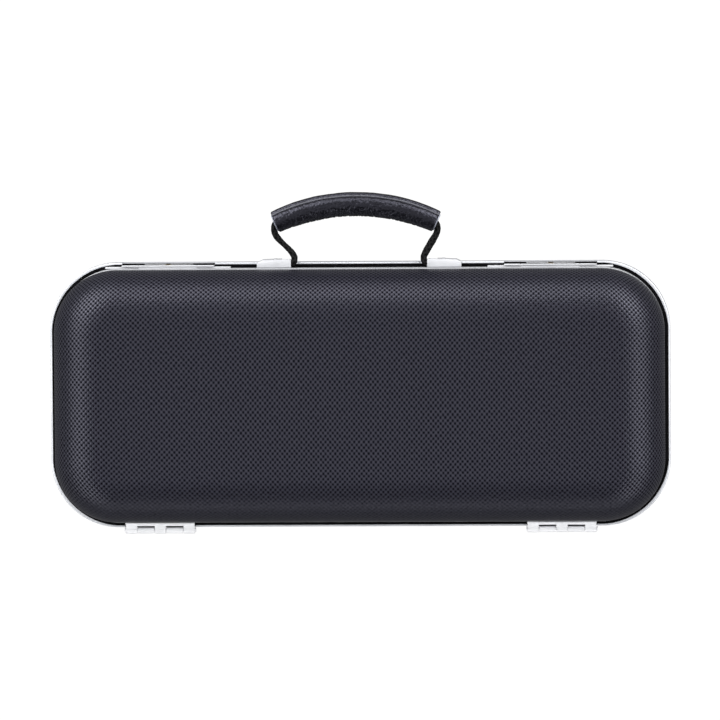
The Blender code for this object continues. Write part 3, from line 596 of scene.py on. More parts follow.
@dataclass
class WovenShell:
    """One moulded half of the case, its weave pressed in as relief on a grid that follows the cells."""

    half: Half
    edge_radius: float = 28.0 * MM
    wall: float = 4.0 * MM
    rebate: float = 2.0 * MM
    cell: tuple[float, float] = (1.464 * MM, 1.56 * MM)
    stretch_along: float = 0.055
    stretch_across: float = 0.29 * MM
    front_inset: float = 0.4 * MM
    relief: float = 0.13 * MM
    relief_fade: float = 1.2 * MM
    inner_steps: int = 8

    def __post_init__(self) -> None:
        """Read the half's heights from the frame."""
        low, high = LID_SHELL if self.half is Half.LID else BASE_SHELL
        self.face_z = high.z if self.half is Half.LID else low.z
        self.rim_z = low.z if self.half is Half.LID else high.z
        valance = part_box(self.half.value + "_valance")
        self.step_z = valance[1].z + 0.3 * MM if self.half is Half.LID else valance[0].z - 0.3 * MM
        drop = abs(self.face_z - self.step_z)
        self.length = self.edge_radius * math.pi / 2 + drop - self.edge_radius
        self.core = Vector((HALF_LENGTH - PLAN_RADIUS, HALF_WIDTH - self.front_inset - PLAN_RADIUS))

    def cell_along(self, x: float) -> float:
        """Return the width of a weave cell at a place along the case."""
        return self.cell[0] * (1.0 + self.stretch_along * min(1.0, (x / (0.62 * HALF_LENGTH)) ** 2))

    def cell_across(self, x: float, y: float) -> float:
        """Return the height of a weave cell, which the moulding stretched most at the lid's middle."""
        middle = max(0.0, 1.0 - (abs(x) / (0.96 * HALF_LENGTH)) ** 3)
        fall = max(0.0, 1.0 - (abs(y) / (0.8 * HALF_WIDTH)) ** 2.2)
        return self.cell[1] + self.stretch_across * middle * fall

    def lay_columns(self, count_x: int, count_y: int) -> tuple[list[float], list[list[float]]]:
        """Return the places of the grid's columns, and of each column's rows, from the middle outwards."""
        columns = [self.cell_along(0.0) / 2]
        while len(columns) <= count_x // 2:
            columns.append(columns[-1] + self.cell_along(columns[-1]))
        rows = []
        for x in columns:
            row = [self.cell_across(x, 0.0) / 2]
            while len(row) <= count_y // 2:
                row.append(row[-1] + self.cell_across(x, row[-1]))
            rows.append(row)
        return columns, rows

    def place(self, across: Vector) -> tuple[Vector, Vector, float]:
        """Return a pattern point's place, its outward normal and its distance past the flat face."""
        sign = self.half.direction
        core = self.core
        centre = Vector((max(-core.x, min(core.x, across.x)), max(-core.y, min(core.y, across.y))))
        reach = across.xy - centre
        flat = PLAN_RADIUS - self.edge_radius
        beyond = reach.length - flat
        if beyond <= 0:
            return Vector((across.x, across.y, self.face_z)), Vector((0, 0, sign)), beyond
        away = reach.normalized()
        travel = min(beyond, self.length)
        angle = min(travel / self.edge_radius, math.pi / 2)
        out = self.edge_radius * math.sin(angle)
        drop = self.edge_radius * (1 - math.cos(angle)) + max(0.0, travel - self.edge_radius * math.pi / 2)
        plan = centre + away * (flat + out)
        normal = Vector((away.x * math.sin(angle), away.y * math.sin(angle), sign * math.cos(angle)))
        return Vector((plan.x, plan.y, self.face_z - sign * drop)), normal, beyond

    def weave_sheet(self, builder: bmesh.types.BMesh) -> list:
        """Lay the pattern's grid over the outer surface and return the edges of its rim."""
        reach_x = HALF_LENGTH - self.edge_radius + self.length
        reach_y = HALF_WIDTH - self.edge_radius + self.length
        count_x = 2 * math.ceil(reach_x / self.cell[0]) + 1
        count_y = 2 * math.ceil(reach_y / self.cell[1]) + 1
        grid = bmesh.ops.create_grid(builder, x_segments=count_x, y_segments=count_y, size=1.0)
        uv = builder.loops.layers.uv.new("weave")
        bmesh.ops.scale(builder, verts=grid["verts"], vec=Vector((count_x / 2, count_y / 2, 1.0)))
        for face in builder.faces:
            for loop in face.loops:
                loop[uv].uv = loop.vert.co.xy
        columns, rows = self.lay_columns(count_x, count_y)
        past = {}
        for vert in builder.verts:
            column = round(abs(vert.co.x) - 0.5)
            row = round(abs(vert.co.y) - 0.5)
            pattern = math.sin(math.pi * vert.co.x) * math.sin(math.pi * vert.co.y)
            across = Vector((
                math.copysign(columns[column], vert.co.x), math.copysign(rows[column][row], vert.co.y), 0.0,
            ))
            place, normal, beyond = self.place(across)
            fade = max(0.0, min(1.0, (self.length - beyond) / self.relief_fade))
            flat = max(0.0, min(1.0, (across.y - FADE_START) / FADE_RUN))
            vert.co = place + normal * self.relief * fade * (1.0 - FADE_SHARE * flat) * (pattern - 1.0)
            past[vert] = beyond >= self.length
        lost = [face for face in builder.faces if all(past[vert] for vert in face.verts)]
        bmesh.ops.delete(builder, geom=lost, context="FACES")
        return [edge for edge in builder.edges if edge.is_boundary]

    def build(self, material: bpy.types.Material) -> None:
        """Build the half, closed by its rebated rim and plain inside."""
        builder = bmesh.new()
        ring = self.weave_sheet(builder)
        sign = self.half.direction
        ring = extend_ring(builder, ring, -self.rebate, self.step_z)
        ring = extend_ring(builder, ring, -self.rebate, self.rim_z)
        ring = extend_ring(builder, ring, -self.wall, self.rim_z)
        radius = self.edge_radius - self.wall
        middle = self.face_z - sign * self.edge_radius
        for step in range(self.inner_steps + 1):
            angle = math.pi / 2 * step / self.inner_steps
            out = radius * math.cos(angle) - self.edge_radius
            ring = extend_ring(builder, ring, out, middle + sign * radius * math.sin(angle))
        bmesh.ops.contextual_create(builder, geom=ring)
        body = self.half.value
        finish_piece(builder, body + "_woven_shell", body, [material], (body + "_shell",),
                     50.0)


@dataclass
class Frames:
    """The metal valances of both halves and the seal between them."""

    near: float = 0.6 * MM
    flange: float = 2.6 * MM
    reach: float = 4.5 * MM
    inner: float = 1.7 * MM
    lid_out: float = -0.08 * MM
    lid_widen: float = 0.25 * MM
    lid_shift: float = 0.15 * MM
    base_out: float = 3.3 * MM
    widen: float = 0.3 * MM
    seal_out: float = 2.2 * MM
    seal_at_lever: float = 0.9 * MM
    pocket_floor: float = 0.4 * MM
    trench_out: float = 2.65 * MM
    trench_depth: float = 0.5 * MM
    notch_in: float = 2.2 * MM
    notch_depth: float = 4.0 * MM
    lever_side: float = 0.45 * MM
    lever_below: float = 1.7 * MM
    past_edge: float = 1.0 * MM
    strip_rounds: tuple[float, float] = (0.3 * MM, 0.4 * MM)
    rim_rounds: tuple[float, float] = (0.9 * MM, 1.8 * MM)
    seal_half: float = 0.3 * MM
    seal_in: float = 3.5 * MM
    face_slack: float = 0.05 * MM
    cord_from: float = 36.6 * MM
    cord_to: float = 42.8 * MM
    cord_out: float = 2.6 * MM
    cord_depth: float = 4.5 * MM
    strip_ease: float = 0.55 * MM
    seal_ease: float = 0.75 * MM
    round_steps: int = 5

    def rounded(self, corner: tuple, start: tuple, end: tuple) -> list[tuple[float, float]]:
        """Return points that round a profile's corner from start to end."""
        points = []
        for step in range(self.round_steps + 1):
            t = step / self.round_steps
            a = (1 - t) ** 2
            b = 2 * t * (1 - t)
            points.append(tuple(a * s + b * c + t * t * e for s, c, e in zip(start, corner, end)))
        return points

    def valance_profile(self, out: float, height: float, top_round: float, foot_round: float) -> list:
        """Return a valance's profile as (outward distance, height from the seam) points."""
        profile = [(-self.reach, self.near)]
        profile += self.rounded((out, self.near), (out - top_round, self.near), (out, self.near + top_round))
        profile += self.rounded((out, height), (out, height - foot_round), (out - foot_round, height))
        profile += [(-self.inner, height), (-self.inner, self.flange), (-self.reach, self.flange)]
        return profile

    def widened(self, builder: bmesh.types.BMesh, widen: float) -> bmesh.types.BMesh:
        """Return a band drawn out a little towards the front and back."""
        share = 1.0 + widen / HALF_WIDTH
        bmesh.ops.scale(builder, verts=builder.verts, vec=Vector((1.0, share, 1.0)))
        return builder

    def eased(self, builder: bmesh.types.BMesh, ease: float) -> bmesh.types.BMesh:
        """Return a band drawn in by a distance at the middle of its round corners."""
        core = Vector((HALF_LENGTH - PLAN_RADIUS, HALF_WIDTH - PLAN_RADIUS))
        for vert in builder.verts:
            past = Vector((abs(vert.co.x) - core.x, abs(vert.co.y) - core.y))
            if min(past) <= 0:
                continue
            pull = past.normalized()
            pull *= ease * 2.0 * pull.x * pull.y
            vert.co.x -= math.copysign(pull.x, vert.co.x)
            vert.co.y -= math.copysign(pull.y, vert.co.y)
        return builder

    def cord_notches(self) -> list[tuple[Vector, Vector]]:
        """Return the boxes beside the brackets that let the swung cord past the rim."""
        boxes = []
        for sign in (-1.0, 1.0):
            ends = sorted((sign * self.cord_from, sign * self.cord_to))
            boxes.append((
                Vector((ends[0], Side.FRONT.y(self.base_out + self.past_edge), SEAM - self.cord_depth)),
                Vector((ends[1], Side.FRONT.y(self.cord_out), SEAM)),
            ))
        return boxes

    def paint_trench_shade(self, valance: bpy.types.Object, trenches: list[tuple[Vector, Vector]]) -> None:
        """Give the faces inside the levers' trenches and the hinges' notches the valance's second material,
        black rubber as painted shade.
        """
        slack = Vector((self.face_slack,) * 3)
        for face in valance.data.polygons:
            for low, high in trenches:
                after = face.center - low + slack
                before = high + slack - face.center
                if min(after) > 0 and min(before) > 0:
                    face.material_index = 1

    def build(
        self, metal: bpy.types.Material, bright: bpy.types.Material, rubber: bpy.types.Material,
    ) -> None:
        """Build both valances and the seal."""
        lid_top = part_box("lid_valance")[1].z - SEAM
        base_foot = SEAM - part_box("base_valance")[0].z
        profile = self.valance_profile(self.lid_out, lid_top, *self.strip_rounds)
        lid = [(out, SEAM + z) for out, z in profile]
        strip = self.eased(self.widened(hoop(lid), self.lid_widen), self.strip_ease)
        bmesh.ops.translate(strip, verts=strip.verts, vec=Vector((0.0, -self.lid_shift, 0.0)))
        finish_piece(strip, "lid_rim_valance", "lid", [bright], ("lid_valance",))
        profile = self.valance_profile(self.base_out, base_foot, *self.rim_rounds)
        base = [(out, SEAM - z) for out, z in profile]
        rim = self.widened(hoop(base), self.widen)
        valance = finish_piece(rim, "base_rim_valance", "base", [metal, rubber], ("base_valance",))
        pockets = []
        trenches = []
        for label in ("left", "right"):
            low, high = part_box("latch_lever_" + label)
            side = self.lever_side
            floor = Side.FRONT.y(-self.pocket_floor)
            foot = low.z - self.lever_below
            pockets.append((
                Vector((low.x - side, Side.FRONT.y(self.base_out + self.past_edge), foot)),
                Vector((high.x + side, floor, SEAM)),
            ))
            trenches.append((
                Vector((low.x - side, Side.FRONT.y(self.trench_out), foot - self.trench_depth)),
                Vector((high.x + side, floor, SEAM)),
            ))
            low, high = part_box("hinge_base_leaf_" + label)
            trenches.append((
                Vector((low.x - side, Side.BACK.y(self.notch_in), SEAM - self.notch_depth)),
                Vector((high.x + side, Side.BACK.y(self.base_out + self.past_edge), SEAM)),
            ))
        cut_away(valance, pockets)
        cut_away(valance, trenches)
        cut_away(valance, self.cord_notches())
        # The black rubber on the trench faces is painted shade.
        self.paint_trench_shade(valance, trenches)
        half = self.seal_half
        seal_out = self.seal_out
        seal = [(-self.seal_in, -half)]
        seal += self.rounded((seal_out, -half), (seal_out - half, -half), (seal_out, 0.0))
        seal += self.rounded((seal_out, half), (seal_out, 0.0), (seal_out - half, half))
        seal += [(-self.seal_in, half)]
        seal = [(out, SEAM + z) for out, z in seal]
        strip = self.eased(self.widened(hoop(seal), self.widen), self.seal_ease)
        strip = finish_piece(strip, "seal_strip", "base", [rubber], ("seal",))
        trims = []
        for low, high in pockets:
            top = Vector((high.x, Side.FRONT.y(self.seal_at_lever), high.z + self.past_edge))
            trims.append((low, top))
        cut_away(strip, trims)


# Hinges, latches and brackets


def dome(
    name: str, node: str, body: str, metal: bpy.types.Material, side: Side, inset: float = 0.0,
) -> None:
    """Build a rivet or screw with a domed head in place of a CAD node.

    Args:
        name: The piece's name.
        node: The CAD node.
        body: The body that it rides on.
        metal: Its material.
        side: The side of the case that it stands on.
        inset: How much nearer to the wall than in the solids it stands.
    """
    low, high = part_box(node)
    radius = (high.x - low.x) / 2
    tip = max(side.value * low.y, side.value * high.y) - HALF_WIDTH - inset
    rise = 0.42 * radius
    centre = Vector(((low.x + high.x) / 2, side.y(tip - rise), (low.z + high.z) / 2))
    stations = [(-1.2 * MM, 0.0), (-1.2 * MM, radius * 0.5), (0.0, radius * 0.5), (0.0, radius * 0.97)]
    steps = 7
    for step in range(steps + 1):
        angle = math.pi / 2 * step / steps
        stations.append((rise * (0.12 + 0.88 * math.sin(angle)), radius * math.cos(angle)))
    builder = bmesh.new()
    turned(builder, centre, Vector((0.0, side.value, 0.0)), stations, 28)
    finish_piece(builder, name, body, [metal], (node,))


PIN_CAP_SHARES = [(0.0, 0.0), (0.0, 0.6), (0.3, 0.92), (0.7, 1.0), (1.0, 1.0)]


@dataclass
class Hinge:
    """A five-knuckle hinge whose pin runs along the seam."""

    label: str
    radius: float = 2.3 * MM
    base_radius: float = 1.85 * MM
    base_shift: float = 0.3 * MM
    flange_out: float = 2.7 * MM
    end_knuckle: float = 7.0 * MM
    base_knuckle: float = 10.7 * MM
    slip: float = 0.15 * MM
    leaf: float = 0.8 * MM
    lid_out: float = 0.35 * MM
    base_out: float = 2.9 * MM
    rivet_inset: float = 1.25 * MM
    axis_out: float = 5.2 * MM
    pin_head: float = 1.6 * MM
    pin_cap: float = 0.5 * MM
    pin_radius: float = 1.0 * MM
    leaf_edge: float = 0.25 * MM
    knuckle_edge: float = 0.1 * MM
    web_up: float = 1.0 * MM
    flange_top: float = 2.0 * MM
    knuckle_top: float = 2.15 * MM
    base_top: float = 2.6 * MM
    window_foot: float = 3.4 * MM
    window_floor: float = 1.2 * MM
    window_out: float = 4.7 * MM

    def knuckles(self, start: float) -> list[tuple[float, float]]:
        """Return the ends of the knuckles along X."""
        spans = []
        for index in range(5):
            length = self.base_knuckle if index % 2 else self.end_knuckle
            spans.append((start, start + length))
            start += length
        return spans

    def build(self, metal: bpy.types.Material, shade: bpy.types.Material) -> None:
        """Build both leaves, the pin and the rivets."""
        low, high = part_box("hinge_lid_leaf_" + self.label)
        start, end = low.x, high.x
        axis_y = Side.BACK.y(self.axis_out)
        lid = bmesh.new()
        base = bmesh.new()
        web_z = low.z if low.z > SEAM else SEAM + self.web_up
        web_out = self.lid_out + self.knuckle_edge
        slab(lid, (start, Side.BACK.y(self.lid_out), web_z),
             (end, Side.BACK.y(self.lid_out + self.leaf), high.z), self.leaf_edge)
        slab(lid, (start, Side.BACK.y(web_out), SEAM + self.web_up),
             (end, Side.BACK.y(self.flange_out), SEAM + self.flange_top), self.knuckle_edge)
        base_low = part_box("hinge_base_leaf_" + self.label)[0]
        slab(base, (start, Side.BACK.y(self.base_out), base_low.z),
             (end, Side.BACK.y(self.base_out + self.leaf), SEAM - self.base_top), self.leaf_edge)
        for index, (first, last) in enumerate(self.knuckles(start)):
            first += self.slip if index else 0.0
            last -= self.slip if index < 4 else 0.0
            if index % 2:
                slab(base, (first, Side.BACK.y(self.base_out), SEAM - self.window_foot),
                     (last, Side.BACK.y(self.window_out), SEAM - self.window_floor), self.knuckle_edge)
                base_y = Side.BACK.y(self.axis_out + self.base_shift)
                barrel(base, first, last, base_y, SEAM, self.base_radius)
            else:
                slab(lid, (first, Side.BACK.y(web_out), SEAM + self.web_up),
                     (last, Side.BACK.y(self.axis_out), SEAM + self.knuckle_top), self.knuckle_edge)
                barrel(lid, first, last, axis_y, SEAM, self.radius)
        finish_piece(lid, f"hinge_{self.label}_lid_leaf", "lid", [metal],
                     ("hinge_lid_leaf_" + self.label,))
        base.normal_update()
        # The low window slabs' upward faces get black rubber, as painted shade under the knuckles.
        for face in base.faces:
            middle = face.calc_center_median()
            if face.normal.z > 0.5 and middle.z < SEAM - self.web_up:
                face.material_index = 1
        finish_piece(base, f"hinge_{self.label}_base_leaf", "base", [metal, shade],
                     ("hinge_base_leaf_" + self.label,))
        pin_low, pin_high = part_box("hinge_pin_" + self.label)
        head = self.pin_head
        length = pin_high.x - pin_low.x
        pin = bmesh.new()
        cap = [(self.pin_cap * along, head * radius) for along, radius in PIN_CAP_SHARES]
        cap.append((self.pin_cap, self.pin_radius))
        stations = cap + [(length - along, radius) for along, radius in reversed(cap)]
        turned(pin, Vector((pin_low.x, axis_y, SEAM)), Vector((1.0, 0.0, 0.0)), stations)
        finish_piece(pin, f"hinge_{self.label}_pin", "base", [metal], ("hinge_pin_" + self.label,))
        for body in ("lid", "base"):
            for number in (1, 2):
                node = f"hinge_{body}_rivet_{self.label}_{number}"
                inset = self.rivet_inset if body == "lid" else 0.0
                dome(f"hinge_{self.label}_{body}_rivet_{number}", node, body, metal, Side.BACK, inset)


@dataclass
class Latch:
    """A latch: a long plate on the lid and a shorter sprung lever in front of it that grips the keeper."""

    label: str
    plate_out: float = 0.2 * MM
    plate_thickness: float = 1.0 * MM
    lever_in: float = 1.25 * MM
    lever_out: float = 2.2 * MM
    axis_out: float = 1.8 * MM
    knuckle: float = 0.55 * MM
    ear: float = 10.0 * MM
    nib: float = 8.0 * MM
    nib_down: float = 3.9 * MM
    nib_thickness: float = 0.7 * MM
    nib_in: float = 0.8 * MM
    lip: float = 15.0 * MM
    lip_out: float = 2.45 * MM
    lip_height: float = 1.6 * MM
    slip: float = 0.3 * MM
    overlap: float = 1.0 * MM
    thin_edge: float = 0.1 * MM
    pin_radius: float = 0.42 * MM
    pin_proud: float = 0.2 * MM
    keeper_in: float = -0.1 * MM
    keeper_out: float = 0.5 * MM
    keeper_lip: float = 0.6 * MM
    keeper_lip_out: float = 1.6 * MM
    plate_edge: float = 0.18 * MM
    lever_edge: float = 0.22 * MM
    nib_edge: float = 0.12 * MM
    lip_edge: float = 0.3 * MM
    keeper_edge: float = 0.15 * MM
    painted_shade_depth: float = 0.15 * MM
    rivet_inset: float = 1.1 * MM
    stud_inset: float = 0.35 * MM

    def face_indices(self, lever: bmesh.types.BMesh) -> None:
        """Give the lever's outward face its second material, black rubber as painted shade."""
        lever.normal_update()
        for face in lever.faces:
            out = -face.calc_center_median().y - HALF_WIDTH
            if face.normal.y < -0.8 and out > self.lever_out - self.painted_shade_depth:
                face.material_index = 1

    def build(self, metal: bpy.types.Material, lever_face_shade: bpy.types.Material, brass: bpy.types.Material) -> None:
        """Build the plate, lever, pin, stud, keeper and rivets."""
        front = Side.FRONT
        body = "latch_" + self.label
        plate_low, plate_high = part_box("latch_plate_" + self.label)
        lever_low, lever_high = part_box("latch_lever_" + self.label)
        centre = (plate_low.x + plate_high.x) / 2
        axis_y = front.y(self.axis_out)
        axis_z = JOINTS[f"latch_{self.label}_hinge"].z
        face_top = axis_z - self.knuckle - self.slip
        middle = (lever_high.x - lever_low.x) / 2 - self.ear - self.slip
        plate = bmesh.new()
        face_y = front.y(self.plate_out + self.plate_thickness)
        slab(plate, (plate_low.x, front.y(self.plate_out), plate_low.z), (plate_high.x, face_y, face_top),
             self.plate_edge)
        slab(plate, (centre - middle, front.y(self.plate_out), face_top - self.overlap),
             (centre + middle, face_y, axis_z), self.thin_edge)
        barrel(plate, centre - middle, centre + middle, axis_y, axis_z, self.knuckle)
        finish_piece(plate, f"latch_{self.label}_face_plate", "lid", [metal],
                     ("latch_plate_" + self.label,))
        lever = bmesh.new()
        slab(lever, (lever_low.x, front.y(self.lever_in), lever_low.z),
             (lever_high.x, front.y(self.lever_out), face_top), self.lever_edge)
        for first in (lever_low.x, lever_high.x - self.ear):
            slab(lever, (first, front.y(self.lever_in), face_top - self.overlap),
                 (first + self.ear, front.y(self.lever_out), axis_z), self.thin_edge)
            barrel(lever, first, first + self.ear, axis_y, axis_z, self.knuckle)
        nib_z = SEAM - self.nib_down
        slab(lever, (centre - self.nib, front.y(self.nib_in), nib_z - self.nib_thickness),
             (centre + self.nib, front.y(self.lever_out - self.thin_edge), nib_z), self.nib_edge)
        lip_z = lever_low.z
        slab(lever, (centre - self.lip, front.y(self.lever_in), lip_z),
             (centre + self.lip, front.y(self.lip_out), lip_z + self.lip_height), self.lip_edge)
        self.face_indices(lever)
        finish_piece(lever, f"latch_{self.label}_lever", body, [metal, lever_face_shade],
                     ("latch_lever_" + self.label,))
        pin = bmesh.new()
        ends = (lever_low.x - self.pin_proud, lever_high.x + self.pin_proud)
        barrel(pin, *ends, axis_y, axis_z, self.pin_radius)
        finish_piece(pin, f"latch_{self.label}_pin", "lid", [metal], ("latch_pin_" + self.label,))
        keeper_low, keeper_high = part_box("latch_keeper_" + self.label)
        keeper = bmesh.new()
        slab(keeper, (keeper_low.x, front.y(self.keeper_in), keeper_low.z),
             (keeper_high.x, front.y(self.keeper_out), keeper_high.z), self.keeper_edge)
        slab(keeper, (centre - self.nib, front.y(0.0), keeper_high.z - self.keeper_lip),
             (centre + self.nib, front.y(self.keeper_lip_out), keeper_high.z), self.keeper_edge)
        finish_piece(keeper, f"latch_{self.label}_keeper", "base", [metal],
                     ("latch_keeper_" + self.label,))
        stud_node = "latch_stud_" + self.label
        dome(f"latch_{self.label}_stud", stud_node, body, brass, front, self.stud_inset)
        for number in (1, 2):
            for kind, rider in (("plate", "lid"), ("keeper", "base")):
                node = f"latch_{kind}_rivet_{self.label}_{number}"
                inset = self.rivet_inset if kind == "plate" else 0.0
                dome(f"latch_{self.label}_{kind}_rivet_{number}", node, rider, metal, front, inset)


BRACKET_INNER_ZONE = 1.2 * MM
BRACKET_INNER_SHIFT = 0.45 * MM
BRACKET_OUTER_ZONE = 5.25 * MM
BRACKET_OUTER_SHIFT = 0.5 * MM


def dress_bracket(label: str, metal: bpy.types.Material) -> None:
    """Build one handle bracket and its screw, the bracket a little nearer to the lid than in the solids."""
    node = "handle_bracket_" + label
    builder = refined(node, 0.35 * MM)
    for vert in builder.verts:
        out = -vert.co.y - HALF_WIDTH
        if out < BRACKET_INNER_ZONE:
            vert.co.y += BRACKET_INNER_SHIFT
        elif out > BRACKET_OUTER_ZONE:
            vert.co.y += BRACKET_OUTER_SHIFT
    finish_piece(builder, node + "_block", "base", [metal], (node,))
    dome(node + "_screw", "bracket_screw_" + label, "base", metal, Side.FRONT,
         BRACKET_OUTER_SHIFT)


# Handle


def handle_place(along: float, out: float, rise: float) -> Vector:
    """Return a point of the handle at rest from its place along the case, outward distance and rise."""
    return Vector((along, Side.FRONT.y(out), HANDLE_AXIS.z + rise))


def hang_aside(builder: bmesh.types.BMesh) -> bmesh.types.BMesh:
    """Return a piece of the handle, its part clear of the brackets hung a little to one side."""
    for vert in builder.verts:
        clear = (Side.FRONT.y(HANG_START) - vert.co.y) / HANG_RUN
        clear = min(1.0, max(0.0, clear))
        vert.co.x += HANG_ASIDE * clear * clear * (3.0 - 2.0 * clear)
    return builder


@dataclass
class Grip:
    """The stitched leather grip with its welt, creases and open raw ends."""

    arc: float = 118.0 * MM
    peak: float = 38.7 * MM
    half_chord: float = 49.4 * MM
    radius: float = 7.0 * MM
    end_radius: float = 6.3 * MM
    bore: float = 4.9 * MM
    raw_edge: float = 5.3 * MM
    welt: float = 1.0 * MM
    seam: tuple[float, float] = (0.52, 0.57)
    welt_turn: float = 0.47
    lump: float = 0.18 * MM
    crease: float = 2.8 * MM
    crease_reach: float = 0.24
    crease_least: float = 0.06
    groove: float = 0.35 * MM
    groove_turn: float = 0.66
    groove_width: float = 0.08
    end_start: float = 0.985
    end_drop: float = 0.5 * MM
    end_edge: float = 0.05 * MM
    lip: float = 0.55 * MM
    lining: float = 0.65 * MM
    bore_edge: float = 0.2 * MM
    bore_short: float = 1.0 * MM
    columns: int = 260
    rows: int = 150
    bore_steps: int = 24

    def point(self, angle: float, radial: float, rise: float) -> Vector:
        """Return a point beside the grip's arc."""
        distance = self.arc + radial
        out = self.peak - self.arc + distance * math.cos(angle)
        return handle_place(distance * math.sin(angle), out, rise)

    def reach(self, share: float, turn: float) -> float:
        """Return the leather's reach from the arc at a share of the half length and a turn round it."""
        radius = self.radius + (self.end_radius - self.radius) * share ** 4
        spot = Vector((share * 5.2, math.cos(turn) * 0.8, math.sin(turn) * 0.8))
        lump = noise.noise(spot) * self.lump
        fold_spot = Vector((share * 26.0, math.cos(turn) * 2.4, math.sin(turn) * 2.4))
        folds = abs(noise.noise(fold_spot))
        under = 0.5 - 0.5 * math.cos(turn)
        depth = self.crease * (self.crease_least + (1.0 - self.crease_least) * under ** 2)
        crease = -max(0.0, self.crease_reach - folds) * depth * (1.0 - share ** 4)
        seam_turn = (turn + math.pi) % math.tau - math.pi
        ridge = self.welt * math.exp(-(seam_turn / self.welt_turn) ** 8)
        ridge *= 1.0 + 0.06 * noise.noise(spot * 3.0)
        past = (abs(seam_turn) - self.groove_turn) / self.groove_width
        groove = -self.groove * math.exp(-past ** 2)
        return radius + lump + crease + ridge + groove

    def build(self, leather: bpy.types.Material, raw: bpy.types.Material, thread: bpy.types.Material) -> None:
        """Build the grip as a closed tube, its ends trimmed to the pale inner face of the leather."""
        builder = bmesh.new()
        grid = bmesh.ops.create_grid(builder, x_segments=self.columns, y_segments=self.rows, size=1.0)
        half_angle = math.asin(self.half_chord / self.arc)
        for face in builder.faces:
            if self.seam[0] < abs(face.calc_center_median().y) * math.pi < self.seam[1]:
                face.material_index = 2
        for vert in grid["verts"]:
            share = vert.co.x
            turn = vert.co.y * math.pi
            reach = self.reach(share, turn)
            fade = max(0.0, (abs(share) - self.end_start) / (1.0 - self.end_start))
            reach -= self.end_drop * fade ** 2
            vert.co = self.point(share * half_angle, reach * math.cos(turn), reach * math.sin(turn))
        bmesh.ops.remove_doubles(builder, verts=builder.verts, dist=MERGE)
        rims = {1: [], -1: []}
        for edge in builder.edges:
            if edge.is_boundary:
                rims[1 if edge.verts[0].co.x > 0 else -1].append(edge)
        whole = 2 * half_angle * self.arc - self.bore_short
        inner = []
        for sign, rim in rims.items():
            steps = [(self.raw_edge, self.end_edge), (self.raw_edge, -self.lip),
                     (self.bore + self.bore_edge, -self.lining), (self.bore, self.bore_edge)]
            if sign > 0:
                steps += [(self.bore, whole * step / self.bore_steps) for step in range(1, self.bore_steps)]
            for number, (radius, depth) in enumerate(steps):
                new = bmesh.ops.extrude_edge_only(builder, edges=rim)["geom"]
                for vert in new:
                    if isinstance(vert, bmesh.types.BMVert):
                        self.pull_in(vert, sign, half_angle, radius, depth)
                for face in new:
                    if isinstance(face, bmesh.types.BMFace):
                        face.material_index = 1 if number else 0
                rim = [item for item in new if isinstance(item, bmesh.types.BMEdge)]
            inner += rim
        bmesh.ops.bridge_loops(builder, edges=inner)
        piece = finish_piece(hang_aside(builder), "grip_leather_wrap", "handle", [leather, raw, thread],
                             ("handle_grip",), 55.0)

    def pull_in(
        self, vert: bmesh.types.BMVert, sign: int, half_angle: float, radius: float, depth: float,
    ) -> None:
        """Move an end rim's vertex onto a circle inside the grip, a depth from its end."""
        hub = handle_place(0.0, self.peak - self.arc, 0.0)
        away = vert.co - hub
        radial = Vector((away.x, away.y)).length - self.arc
        turn = math.atan2(away.z, radial)
        angle = sign * (half_angle - depth / self.arc)
        vert.co = self.point(angle, radius * math.cos(turn), radius * math.sin(turn))


